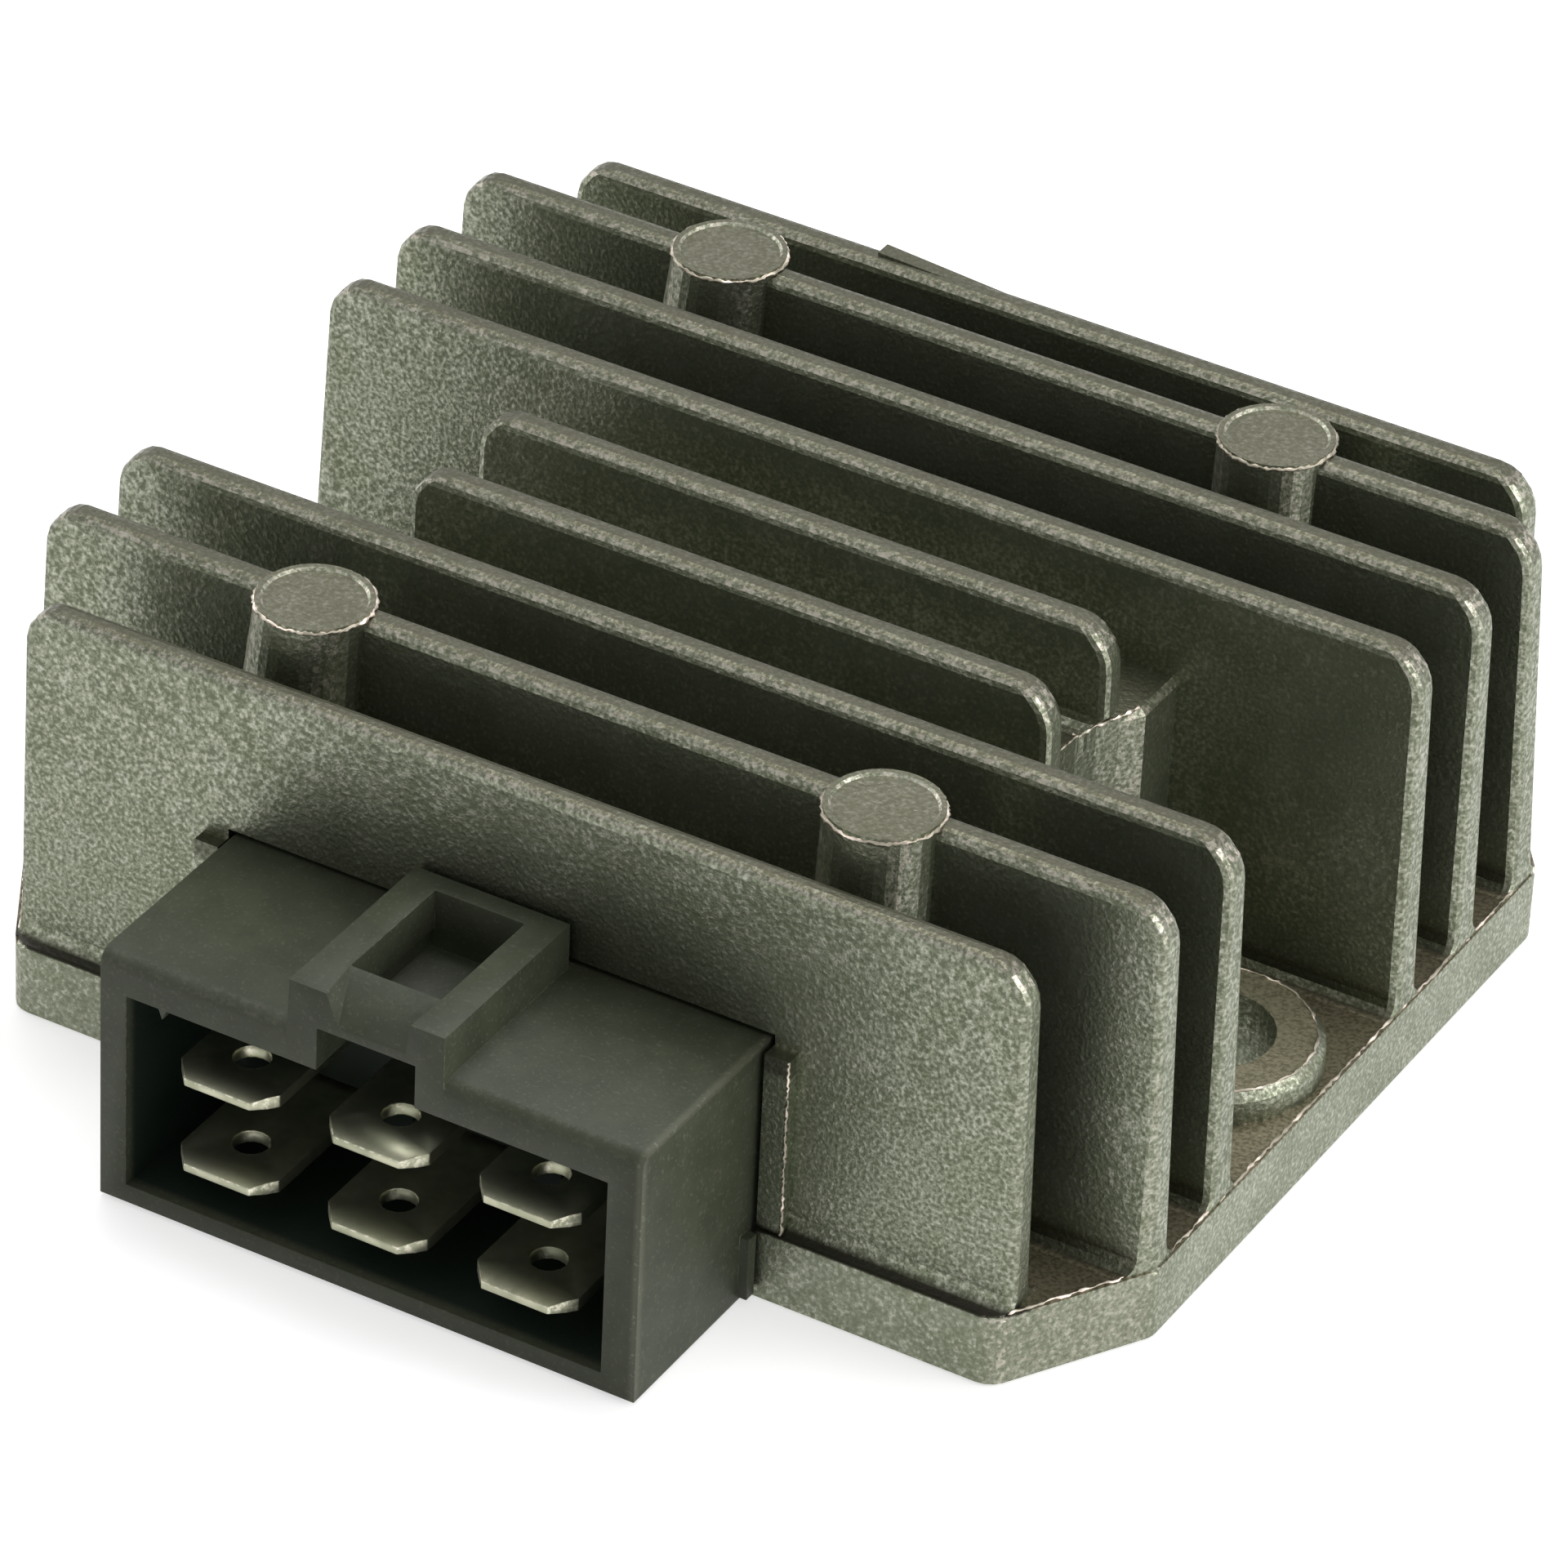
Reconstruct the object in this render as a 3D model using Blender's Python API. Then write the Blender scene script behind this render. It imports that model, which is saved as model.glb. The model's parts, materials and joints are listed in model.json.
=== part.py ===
"""Voltage regulator rectifier, modelled in metres with +Z up.

A finned die-cast housing carries a plastic socket with two rows of blade terminals. Inside the
casting sit the power devices on their substrate, the control board and the compound that seals them.
The base lies on Z = 0, +X runs along the fins and the socket looks towards -Y. Every Y value below
is counted from the middle fin, and one empty then moves the whole object over the origin.
"""

import math

import bmesh
import bpy
from mathutils import Vector

# Clearances between pieces
SEAT_GAP = 0.0003
BLADE_SLOT_GAP = 0.0003
COMPOUND_GAP = 0.0003

# Base plate of the casting
PLATE_HALF_LENGTH = 0.0362
PLATE_FRONT_MARGIN = 0.00172
PLATE_BACK_MARGIN = 0.00162
PLATE_THICKNESS = 0.0044
FRONT_CUT_X = 0.0051
FRONT_CUT_Y = 0.0086
BACK_CUT_X = 0.0052
BACK_CUT_Y = 0.0073
PLATE_CORNER_ROUND = 0.0015
PLATE_EDGE_BEVEL = 0.0003

# Cooling fins, counted from the socket side
FIN_PITCH = 0.00717
FIN_TOP = 0.02765
OUTER_FIN_DROP = 0.00165
FIN_TIP_THICKNESS = 0.0018
FIN_ROOT_THICKNESS = 0.0026
FIN_ROOT_FILLET = 0.0009
FIN_TIP_ROUND = 0.0006
FIN_RIGHT_SHOULDER_SHARE = 0.4275
FIN_LEFT_SHOULDER_SHARE = 0.336
FIN_EDGE_ROUND = 0.0005
FIN_RIGHT_DRAFT = 0.0005
FIN_LEFT_DRAFT = 0.0009
FIN_LEFT_SETBACK = 0.0009
FIN_END_SETBACK = 0.0001
CORNER_FIN_RIGHT_DRAFT = 0.0011
FRONT_FIN_SHIFT = 0.0004
FRONT_FIN_HALF_LENGTH = 0.0316
FRONT_FIN_DRAFT = 0.0004
FRONT_FIN_TIP_THICKNESS = 0.0016
FRONT_FIN_ROOT_THICKNESS = 0.0020
BACK_FIN_LEFT_END = -0.0314
BACK_FIN_RIGHT_END = 0.0316
BACK_FIN_DRAFT = 0.0004
SHORT_FIN_LEFT_END = -0.0200
SHORT_FIN_RIGHT_END = 0.0204
SHORT_FIN_STEP = 0.0003
SHORT_FIN_FOOT_INSET = 0.0010
GATE_MARK_LEFT_END = -0.0112
GATE_MARK_LENGTH = 0.0180
GATE_MARK_PROUD = 0.0002
GATE_MARK_RISE = 0.0002
SUNK = 0.0012

# Round ejector posts on the second and eighth fins
POST_TIP_RADIUS = 0.0033
POST_PROUD = 0.0003
POST_RIM_WIDTH = 0.0003
POST_DISH_DEPTH = 0.00015
FRONT_POST_OFFSET = -0.00069
BACK_POST_OFFSET = 0.00014
LEFT_POST_X = -0.0170
LEFT_POST_ROOT_RADIUS = 0.0044
LEFT_POST_LEAN = 0.0020
RIGHT_POST_X = 0.01848
RIGHT_POST_ROOT_RADIUS = 0.0036
RIGHT_POST_LEAN = 0.0006

# Mounting holes and their raised seats
HOLE_HALF_SPACING = 0.0291
HOLE_OFFSET = 0.000485
HOLE_RADIUS = 0.00375
SEAT_TOP_RADIUS = 0.0065
SEAT_HEIGHT = 0.0019
SEAT_DRAFT = 0.0001
SEAT_EDGE_BEVEL = 0.0005

# Hollow centre block below the short fins
BLOCK_TOP = 0.0211
BLOCK_HALF_LENGTH = 0.0211
BLOCK_SCALLOP_DEPTH = 0.00205
BLOCK_EDGE_BEVEL = 0.0004
BLOCK_WALL = 0.0022
BLOCK_ROOF = 0.0022
CAVITY_CORNER_ROUND = 0.0018

# Socket housing
SOCKET_WIDTH = 0.03375
SOCKET_CENTRE_X = -0.00072
SOCKET_REACH = 0.0117
SOCKET_TOP = 0.0161
SOCKET_BOTTOM = 0.0001
SOCKET_INSERT = 0.0034
SOCKET_LEFT_WALL = 0.00165
SOCKET_RIGHT_WALL = 0.0021
SOCKET_TOP_WALL = 0.0024
SOCKET_FLOOR_WALL = 0.00115
SOCKET_DEPTH = 0.0105
SOCKET_BROW_BEVEL = 0.0009
SOCKET_FLANGE_THICKNESS = 0.0008
SOCKET_FLANGE_PROUD = 0.0006
SOCKET_FLANGE_LIFT = 0.0003
KEY_RIB_WIDTH = 0.0009
KEY_RIB_DROP = 0.0009
KEY_RIB_INSET = 0.0021
KEY_RIB_SETBACK = 0.0003

# Latch frame on top of the socket
LATCH_CENTRE_X = -0.00088
LATCH_INNER_WIDTH = 0.0061
LATCH_WALL = 0.0018
LATCH_RISE = 0.0028
LATCH_LIP_OVERHANG = 0.00025
LATCH_BACK_BAR = 0.0013
LATCH_FRONT_BAR = 0.0029
LATCH_LIP_DROP = 0.0019
LATCH_LIP_THICKNESS = 0.0006
LATCH_LEFT_GUSSET = 0.0015
LATCH_RIGHT_GUSSET = 0.0005
LATCH_POCKET_DEPTH = 0.0009
LATCH_MOUTH_DEPTH = 0.0035

# Collar of the casting round the socket
COLLAR_WALL = 0.0015
COLLAR_TOP_DROP = 0.0003
BAY_ROOF = 0.0017
BAY_EDGE_BEVEL = 0.0006
BAY_OVERLAP = 0.0020

# Blade terminals
BLADE_WIDTH = 0.0063
BLADE_THICKNESS = 0.0008
BLADE_COLUMN_PITCH = 0.0094
BLADE_ROW_PITCH = 0.00565
BLADE_ROW_CENTRE = 0.00665
BLADE_CENTRE_X = -0.00083
BLADE_RECESS = 0.0001
BLADE_CORNER_X = 0.0011
BLADE_CORNER_Y = 0.0014
BLADE_LEAD_IN = 0.0009
BLADE_NOSE_THICKNESS = 0.00045
BLADE_HOLE_RADIUS = 0.00105
BLADE_HOLE_SETBACK = 0.0035
BLADE_SHOULDER = 0.0008
BLADE_SHOULDER_TAPER = 0.0006
TAIL_WIDTH = 0.0024
TAIL_BEND_RADIUS = 0.0011
UPPER_TAIL_RUN = 0.0036
TAIL_STAGGER = 0.0042
TAIL_ABOVE_BOARD = 0.0006

# Electronics
SUBSTRATE_THICKNESS = 0.0015
SUBSTRATE_MARGIN = 0.0004
DEVICE_HEIGHT = 0.0022
DEVICE_DRAFT = 0.0004
DEVICE_SPACE = 0.0018
DEVICE_END_MARGIN = 0.00215
DEVICE_ROW_SPACE = 0.0018
DEVICE_SIDE_MARGIN = 0.001655
BOARD_THICKNESS = 0.0016
BOARD_DROP = 0.0009
BOARD_MARGIN = 0.0012
BOARD_CORNER_ROUND = 0.0010
PIN_RADIUS = 0.00045
PIN_PITCH = 0.0040
PIN_BELOW_BOARD = 0.0006
CHIP_WIDTH = 0.0056
CHIP_HEIGHT = 0.0016
CAPACITOR_RADIUS = 0.0031
CAPACITOR_HEIGHT = 0.0070
CAPACITOR_CHAMFER = 0.0005
ROD_END_SHARE = 0.7
RESISTOR_RADIUS = 0.0009
RESISTOR_LENGTH = 0.0052
RESISTOR_PITCH = 0.0030
ZENER_RADIUS = 0.0013
ZENER_LENGTH = 0.0048
COMPOUND_RECESS = 0.0005

# Faces round a circle and along a fillet
ROUND_STEPS = 32
SMALL_ROUND_STEPS = 16
CORNER_STEPS = 3
ARC_STEPS = 4

# Places worked out from the sizes above
PLATE_FRONT = -4 * FIN_PITCH - PLATE_FRONT_MARGIN
PLATE_BACK = 4 * FIN_PITCH + PLATE_BACK_MARGIN
SOCKET_FRONT = PLATE_FRONT - SOCKET_REACH
SOCKET_BACK = PLATE_FRONT + SOCKET_INSERT
SOCKET_LEFT = SOCKET_CENTRE_X - SOCKET_WIDTH / 2
SOCKET_RIGHT = SOCKET_CENTRE_X + SOCKET_WIDTH / 2
SOCKET_FLOOR = SOCKET_BOTTOM + SOCKET_FLOOR_WALL
SOCKET_CEILING = SOCKET_TOP - SOCKET_TOP_WALL
SOCKET_END = SOCKET_FRONT + SOCKET_DEPTH
FRONT_FIN_Y = -4 * FIN_PITCH + FRONT_FIN_SHIFT
BACK_FIN_Y = 4 * FIN_PITCH
OUTER_FIN_TOP = FIN_TOP - OUTER_FIN_DROP
SHORT_FIN_HEIGHT = FIN_TOP - BLOCK_TOP
RIGHT_SHOULDER_ROUND = FIN_RIGHT_SHOULDER_SHARE * SHORT_FIN_HEIGHT
LEFT_SHOULDER_ROUND = FIN_LEFT_SHOULDER_SHARE * SHORT_FIN_HEIGHT
FRONT_POST_Y = -3 * FIN_PITCH + FRONT_POST_OFFSET
BACK_POST_Y = 3 * FIN_PITCH + BACK_POST_OFFSET
BLOCK_FRONT_FIN_Y = -2 * FIN_PITCH
BLOCK_BACK_FIN_Y = FIN_PITCH
BLOCK_SCALLOP_RADIUS = HOLE_HALF_SPACING - BLOCK_HALF_LENGTH + BLOCK_SCALLOP_DEPTH
SCALLOP_Y = (BLOCK_FRONT_FIN_Y + BLOCK_BACK_FIN_Y) / 2
HOLE_Y = SCALLOP_Y + HOLE_OFFSET
SEAT_TOP = PLATE_THICKNESS + SEAT_HEIGHT
BAY_LEFT = SOCKET_LEFT - SEAT_GAP
BAY_RIGHT = SOCKET_RIGHT + SEAT_GAP
BAY_CEILING = SOCKET_TOP + SEAT_GAP
CAVITY_HALF_LENGTH = BLOCK_HALF_LENGTH - BLOCK_SCALLOP_DEPTH - BLOCK_WALL
DEVICE_LENGTH = 2 * (CAVITY_HALF_LENGTH - DEVICE_SPACE - DEVICE_END_MARGIN) / 3
DEVICE_COLUMN_PITCH = DEVICE_LENGTH + DEVICE_SPACE
CHIP_LENGTH = DEVICE_LENGTH
CAVITY_FRONT = BLOCK_FRONT_FIN_Y + FIN_ROOT_THICKNESS / 2 + SEAT_GAP
CAVITY_BACK = BLOCK_BACK_FIN_Y - FIN_ROOT_THICKNESS / 2 - BLOCK_WALL / 2
DEVICE_WIDTH = (CAVITY_BACK - CAVITY_FRONT - DEVICE_ROW_SPACE) / 2 - DEVICE_SIDE_MARGIN
DEVICE_ROW_PITCH = DEVICE_WIDTH + DEVICE_ROW_SPACE
CAVITY_CEILING = BLOCK_TOP - BLOCK_ROOF
BAY_BACK = CAVITY_FRONT + BAY_OVERLAP
LATCH_TOP = SOCKET_TOP + LATCH_RISE
LATCH_LEFT = LATCH_CENTRE_X - LATCH_INNER_WIDTH / 2
LATCH_RIGHT = LATCH_CENTRE_X + LATCH_INNER_WIDTH / 2
LATCH_BACK = FRONT_FIN_Y - FRONT_FIN_ROOT_THICKNESS / 2 - SEAT_GAP
SUBSTRATE_TOP = CAVITY_CEILING - SEAT_GAP
SUBSTRATE_BOTTOM = SUBSTRATE_TOP - SUBSTRATE_THICKNESS
DEVICE_TOP = SUBSTRATE_BOTTOM - SEAT_GAP
DEVICE_BOTTOM = DEVICE_TOP - DEVICE_HEIGHT
BOARD_TOP = DEVICE_BOTTOM - BOARD_DROP
BOARD_BOTTOM = BOARD_TOP - BOARD_THICKNESS
PART_TOP = BOARD_BOTTOM - SEAT_GAP
BOARD_LEFT = max(BAY_LEFT, -CAVITY_HALF_LENGTH) + BOARD_MARGIN
BOARD_RIGHT = min(BAY_RIGHT, CAVITY_HALF_LENGTH) - BOARD_MARGIN
BOARD_FRONT = SOCKET_BACK + BOARD_MARGIN
BOARD_BACK = CAVITY_BACK - BOARD_MARGIN
CAVITY_MIDDLE_Y = (CAVITY_FRONT + CAVITY_BACK) / 2
MIDDLE_OF_LENGTH_Y = (SOCKET_FRONT + PLATE_BACK) / 2


def clear_objects():
    """Start from an empty scene without closing the file."""
    for old in list(bpy.data.objects):
        bpy.data.objects.remove(old, do_unlink=True)


def make_material(name, colour, roughness, metallic):
    material = bpy.data.materials.new(name)
    material.use_nodes = True
    shader = material.node_tree.nodes["Principled BSDF"]
    shader.inputs["Base Color"].default_value = (*colour, 1.0)
    shader.inputs["Roughness"].default_value = roughness
    shader.inputs["Metallic"].default_value = metallic
    return material


def new_piece(name, mesh_data, material=None, parent=None):
    """Turn finished mesh data into an object of the scene."""
    bmesh.ops.recalc_face_normals(mesh_data, faces=mesh_data.faces)
    mesh = bpy.data.meshes.new(name)
    mesh_data.to_mesh(mesh)
    mesh_data.free()
    piece = bpy.data.objects.new(name, mesh)
    bpy.context.scene.collection.objects.link(piece)
    if material is not None:
        mesh.materials.append(material)
    piece.parent = parent
    return piece


def combine(piece, tool, operation):
    """Join a tool to a piece or cut it away, then remove the tool."""
    step = piece.modifiers.new(operation.title(), "BOOLEAN")
    step.operation = operation
    step.solver = "EXACT"
    step.object = tool
    bpy.context.view_layer.update()
    graph = bpy.context.evaluated_depsgraph_get()
    result = bpy.data.meshes.new_from_object(piece.evaluated_get(graph))
    piece.modifiers.remove(step)
    old = piece.data
    piece.data = result
    bpy.data.meshes.remove(old)
    bpy.data.objects.remove(tool, do_unlink=True)


def join(piece, *tools):
    for tool in tools:
        combine(piece, tool, "UNION")


def cut(piece, *tools):
    for tool in tools:
        combine(piece, tool, "DIFFERENCE")


def loft(sections):
    """Skin a row of equal-sized loops of points and close both ends."""
    skin = bmesh.new()
    loops = [[skin.verts.new(point) for point in section] for section in sections]
    for lower, upper in zip(loops, loops[1:]):
        for i in range(len(lower)):
            j = (i + 1) % len(lower)
            skin.faces.new((lower[i], lower[j], upper[j], upper[i]))
    skin.faces.new(list(reversed(loops[0])))
    skin.faces.new(loops[-1])
    return skin


def circle(radius, z, x=0.0, y=0.0, steps=ROUND_STEPS):
    turn = 2 * math.pi / steps
    return [(x + radius * math.cos(i * turn), y + radius * math.sin(i * turn), z) for i in range(steps)]


def rounded_outline(corners, radius, steps=CORNER_STEPS):
    """Round each corner of a flat outline; corners are (x, y) in turning order."""
    outline = []
    count = len(corners)
    for i, corner in enumerate(corners):
        here = Vector(corner)
        before = (Vector(corners[i - 1]) - here).normalized()
        after = (Vector(corners[(i + 1) % count]) - here).normalized()
        half_angle = before.angle(after) / 2
        reach = radius / math.tan(half_angle)
        middle = here + (before + after).normalized() * radius / math.sin(half_angle)
        start = here + before * reach - middle
        end = here + after * reach - middle
        sweep = start.angle(end)
        for step in range(steps + 1):
            share = step / steps
            arm = start * math.sin((1 - share) * sweep) + end * math.sin(share * sweep)
            outline.append(tuple(middle + arm / math.sin(sweep)))
    return outline


def prism(outline, low, high):
    return loft([[(x, y, z) for x, y in outline] for z in (low, high)])


def box(low, high):
    (x0, y0, z0), (x1, y1, z1) = low, high
    return prism([(x0, y0), (x1, y0), (x1, y1), (x0, y1)], z0, z1)


def bevel_where(shape, width, wanted, segments=1):
    """Bevel the edges whose two end points both satisfy a test."""
    edges = [edge for edge in shape.edges if all(wanted(vert.co) for vert in edge.verts)]
    bmesh.ops.bevel(
        shape,
        geom=edges,
        offset=width,
        offset_type="OFFSET",
        segments=segments,
        profile=0.5,
        affect="EDGES",
    )
    return shape


def near(value, target):
    return abs(value - target) < 1e-6


def plate_outline(inset=0.0):
    """Outline of the base plate with its four cut corners."""
    side = PLATE_HALF_LENGTH - inset
    front = PLATE_FRONT + inset
    back = PLATE_BACK - inset
    corners = [
        (-side + FRONT_CUT_X, front),
        (side - FRONT_CUT_X, front),
        (side, front + FRONT_CUT_Y),
        (side, back - BACK_CUT_Y),
        (side - BACK_CUT_X, back),
        (-side + BACK_CUT_X, back),
        (-side, back - BACK_CUT_Y),
        (-side, front + FRONT_CUT_Y),
    ]
    return rounded_outline(corners, PLATE_CORNER_ROUND)


def plate():
    shape = prism(plate_outline(), 0.0, PLATE_THICKNESS)
    return bevel_where(shape, PLATE_EDGE_BEVEL, lambda co: near(co.z, PLATE_THICKNESS))


def shoulder_pull(z, top, radius):
    """How far a rounded shoulder draws the end of a fin in at the level z."""
    above = max(0.0, z - top + radius)
    return radius - math.sqrt(max(0.0, radius**2 - above**2))


def fin(y, foot, top, ends, drafts, root=FIN_ROOT_THICKNESS, tip=FIN_TIP_THICKNESS, foot_inset=0.0):
    """One drafted fin with root fillets, rounded tip and rounded shoulders.

    It stands on the level foot; ends and drafts give each value for the left end, then the right.
    The inset draws both ends in at the foot, so that nothing overhangs what the fin stands on.
    """
    full_height = FIN_TOP - PLATE_THICKNESS
    heights = [foot - SUNK]
    for step in range(ARC_STEPS):
        angle = math.pi / 2 * step / (ARC_STEPS - 1)
        heights.append(foot + FIN_ROOT_FILLET * (1 - math.cos(angle)))
    shoulder_start = top - RIGHT_SHOULDER_ROUND
    tip_start = top - FIN_TIP_ROUND
    for step in range(ARC_STEPS + 2):
        height = shoulder_start + RIGHT_SHOULDER_ROUND * math.sin(math.pi / 2 * step / (ARC_STEPS + 2))
        if height < tip_start - FIN_EDGE_ROUND / 2:
            heights.append(height)
    for step in range(ARC_STEPS):
        heights.append(tip_start + FIN_TIP_ROUND * math.sin(math.pi / 2 * step / (ARC_STEPS - 1)))

    sections = []
    for z in heights:
        half_thickness = (root + (tip - root) * (z - PLATE_THICKNESS) / full_height) / 2
        above_foot = z - foot
        if above_foot < FIN_ROOT_FILLET:
            away = min(FIN_ROOT_FILLET, FIN_ROOT_FILLET - above_foot)
            half_thickness += FIN_ROOT_FILLET - math.sqrt(FIN_ROOT_FILLET**2 - away**2)
        above_tip = max(0.0, z - tip_start)
        half_thickness -= FIN_TIP_ROUND - math.sqrt(max(0.0, FIN_TIP_ROUND**2 - above_tip**2))
        drafted = max(0.0, above_foot) / full_height
        drawn_in = foot_inset * min(1.0, max(0.0, 1 - above_foot / FIN_ROOT_FILLET))
        left = ends[0] + drawn_in + drafts[0] * drafted + shoulder_pull(z, top, LEFT_SHOULDER_ROUND)
        right = ends[1] - drawn_in - drafts[1] * drafted - shoulder_pull(z, top, RIGHT_SHOULDER_ROUND)
        near_side = y - half_thickness
        far_side = y + half_thickness
        corners = [(left, near_side), (right, near_side), (right, far_side), (left, far_side)]
        edge_round = min(FIN_EDGE_ROUND, half_thickness / 2)
        sections.append([(px, py, z) for px, py in rounded_outline(corners, edge_round, 2)])
    return loft(sections)


def fins():
    """The nine fins: four to each side of the middle one, two of them short."""
    front = fin(
        FRONT_FIN_Y,
        PLATE_THICKNESS,
        OUTER_FIN_TOP,
        (-FRONT_FIN_HALF_LENGTH, FRONT_FIN_HALF_LENGTH),
        (FRONT_FIN_DRAFT, FRONT_FIN_DRAFT),
        FRONT_FIN_ROOT_THICKNESS,
        FRONT_FIN_TIP_THICKNESS,
    )
    back_ends = (BACK_FIN_LEFT_END, BACK_FIN_RIGHT_END)
    back = fin(BACK_FIN_Y, PLATE_THICKNESS, OUTER_FIN_TOP, back_ends, (BACK_FIN_DRAFT, BACK_FIN_DRAFT))
    shapes = [front, back]
    ends = (FIN_LEFT_SETBACK - PLATE_HALF_LENGTH, PLATE_HALF_LENGTH - FIN_END_SETBACK)
    for number in (-3, -2, 1, 2, 3):
        right_draft = CORNER_FIN_RIGHT_DRAFT if number == 3 else FIN_RIGHT_DRAFT
        shapes.append(fin(number * FIN_PITCH, PLATE_THICKNESS, FIN_TOP, ends, (FIN_LEFT_DRAFT, right_draft)))
    for number in (-1, 0):
        ends = (SHORT_FIN_LEFT_END, SHORT_FIN_RIGHT_END - number * SHORT_FIN_STEP)
        drafts = (FIN_RIGHT_DRAFT, FIN_RIGHT_DRAFT)
        shapes.append(fin(number * FIN_PITCH, BLOCK_TOP, FIN_TOP, ends, drafts, foot_inset=SHORT_FIN_FOOT_INSET))
    return [new_piece("fin", shape) for shape in shapes]


def gate_mark():
    """Low wedge on the back edge of the last fin, where the metal ran in."""
    y_back = BACK_FIN_Y + FIN_TIP_THICKNESS / 2
    low = OUTER_FIN_TOP - SUNK
    sections = []
    for along, proud, rise in ((0.0, GATE_MARK_PROUD, GATE_MARK_RISE), (GATE_MARK_LENGTH, -FIN_TIP_ROUND, -FIN_TIP_ROUND)):
        x = GATE_MARK_LEFT_END + along
        y = y_back + proud
        z = OUTER_FIN_TOP + rise
        sections.append([(x, BACK_FIN_Y, low), (x, y, low), (x, y, z), (x, BACK_FIN_Y, z)])
    return loft(sections)


def trimmed_fins():
    """All fins joined, with nothing past the edge of the base plate."""
    first, *others = fins()
    join(first, *others, new_piece("gate_mark", gate_mark()))
    limits = prism(plate_outline(FIN_END_SETBACK), 0.0, FIN_TOP + SUNK)
    combine(first, new_piece("limits", limits), "INTERSECT")
    return first


def post(x, y, root_radius, lean):
    """Round ejector post with a dished top and a thin raised rim."""
    top = FIN_TOP + POST_PROUD
    dish_radius = POST_TIP_RADIUS - POST_RIM_WIDTH
    return loft(
        [
            circle(root_radius, PLATE_THICKNESS - SUNK, x - lean, y),
            circle(POST_TIP_RADIUS, top, x, y),
            circle(dish_radius, top, x, y),
            circle(dish_radius - POST_DISH_DEPTH, top - POST_DISH_DEPTH, x, y),
        ]
    )


def mounting_seat(x):
    """Raised round seat of one mounting hole."""
    return loft(
        [
            circle(SEAT_TOP_RADIUS + SEAT_DRAFT, PLATE_THICKNESS - SUNK, x, HOLE_Y),
            circle(SEAT_TOP_RADIUS, SEAT_TOP - SEAT_EDGE_BEVEL, x, HOLE_Y),
            circle(SEAT_TOP_RADIUS - SEAT_EDGE_BEVEL, SEAT_TOP, x, HOLE_Y),
        ]
    )


def block():
    """Centre block whose two ends are hollowed round the mounting holes."""
    half_angle = math.acos((HOLE_HALF_SPACING - BLOCK_HALF_LENGTH) / BLOCK_SCALLOP_RADIUS)
    steps = 2 * ARC_STEPS
    right_side = [(BLOCK_HALF_LENGTH, BLOCK_FRONT_FIN_Y)]
    for step in range(steps + 1):
        angle = math.pi + half_angle - 2 * half_angle * step / steps
        x = HOLE_HALF_SPACING + BLOCK_SCALLOP_RADIUS * math.cos(angle)
        right_side.append((x, SCALLOP_Y + BLOCK_SCALLOP_RADIUS * math.sin(angle)))
    right_side.append((BLOCK_HALF_LENGTH, BLOCK_BACK_FIN_Y))
    left_side = [(-x, y) for x, y in reversed(right_side)]
    shape = prism(right_side + left_side, PLATE_THICKNESS - SUNK, BLOCK_TOP)
    return bevel_where(shape, BLOCK_EDGE_BEVEL, lambda co: near(co.z, BLOCK_TOP))


def bay():
    """Low hollow between the front edge and the block, which takes the back of the socket."""
    left = BAY_LEFT - COLLAR_WALL
    right = BAY_RIGHT + COLLAR_WALL
    top = BAY_CEILING + BAY_ROOF
    shape = box((left, FRONT_FIN_Y, PLATE_THICKNESS - SUNK), (right, BLOCK_FRONT_FIN_Y, top))
    return bevel_where(shape, BAY_EDGE_BEVEL, lambda co: near(co.z, top), 2)


def collars():
    """Two upright cheeks of the casting beside the socket."""
    top = SOCKET_TOP - COLLAR_TOP_DROP
    low = PLATE_THICKNESS - SUNK
    front = PLATE_FRONT + PLATE_EDGE_BEVEL / 2
    left = box((BAY_LEFT - COLLAR_WALL, front, low), (BAY_LEFT + SEAT_GAP, FRONT_FIN_Y, top))
    right = box((BAY_RIGHT - SEAT_GAP, front, low), (BAY_RIGHT + COLLAR_WALL, FRONT_FIN_Y, top))
    return [left, right]


def cavity_shapes(inset=0.0, low=-SUNK):
    """The room inside the block and the one behind the socket, each made smaller by the inset."""
    x = CAVITY_HALF_LENGTH - inset
    y0 = CAVITY_FRONT + inset
    y1 = CAVITY_BACK - inset
    corners = [(-x, y0), (x, y0), (x, y1), (-x, y1)]
    room = prism(rounded_outline(corners, CAVITY_CORNER_ROUND), low, CAVITY_CEILING - inset)
    front = SOCKET_BACK + SEAT_GAP if inset else SOCKET_FRONT
    hall = box((BAY_LEFT + inset, front, low), (BAY_RIGHT - inset, BAY_BACK - inset, BAY_CEILING - inset))
    return room, hall


def heat_sink(material, parent):
    casting = new_piece("heat_sink", plate(), material, parent)
    join(casting, new_piece("block", block()), new_piece("bay", bay()))
    join(casting, *[new_piece("collar", shape) for shape in collars()])
    join(casting, trimmed_fins())
    for y in (FRONT_POST_Y, BACK_POST_Y):
        join(casting, new_piece("post", post(LEFT_POST_X, y, LEFT_POST_ROOT_RADIUS, LEFT_POST_LEAN)))
        join(casting, new_piece("post", post(RIGHT_POST_X, y, RIGHT_POST_ROOT_RADIUS, RIGHT_POST_LEAN)))
    for x in (-HOLE_HALF_SPACING, HOLE_HALF_SPACING):
        join(casting, new_piece("seat", mounting_seat(x)))
        rings = [circle(HOLE_RADIUS, z, x, HOLE_Y) for z in (-SUNK, SEAT_TOP + SUNK)]
        cut(casting, new_piece("drill", loft(rings)))
    cut(casting, *[new_piece("room", shape) for shape in cavity_shapes()])
    return casting


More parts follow.
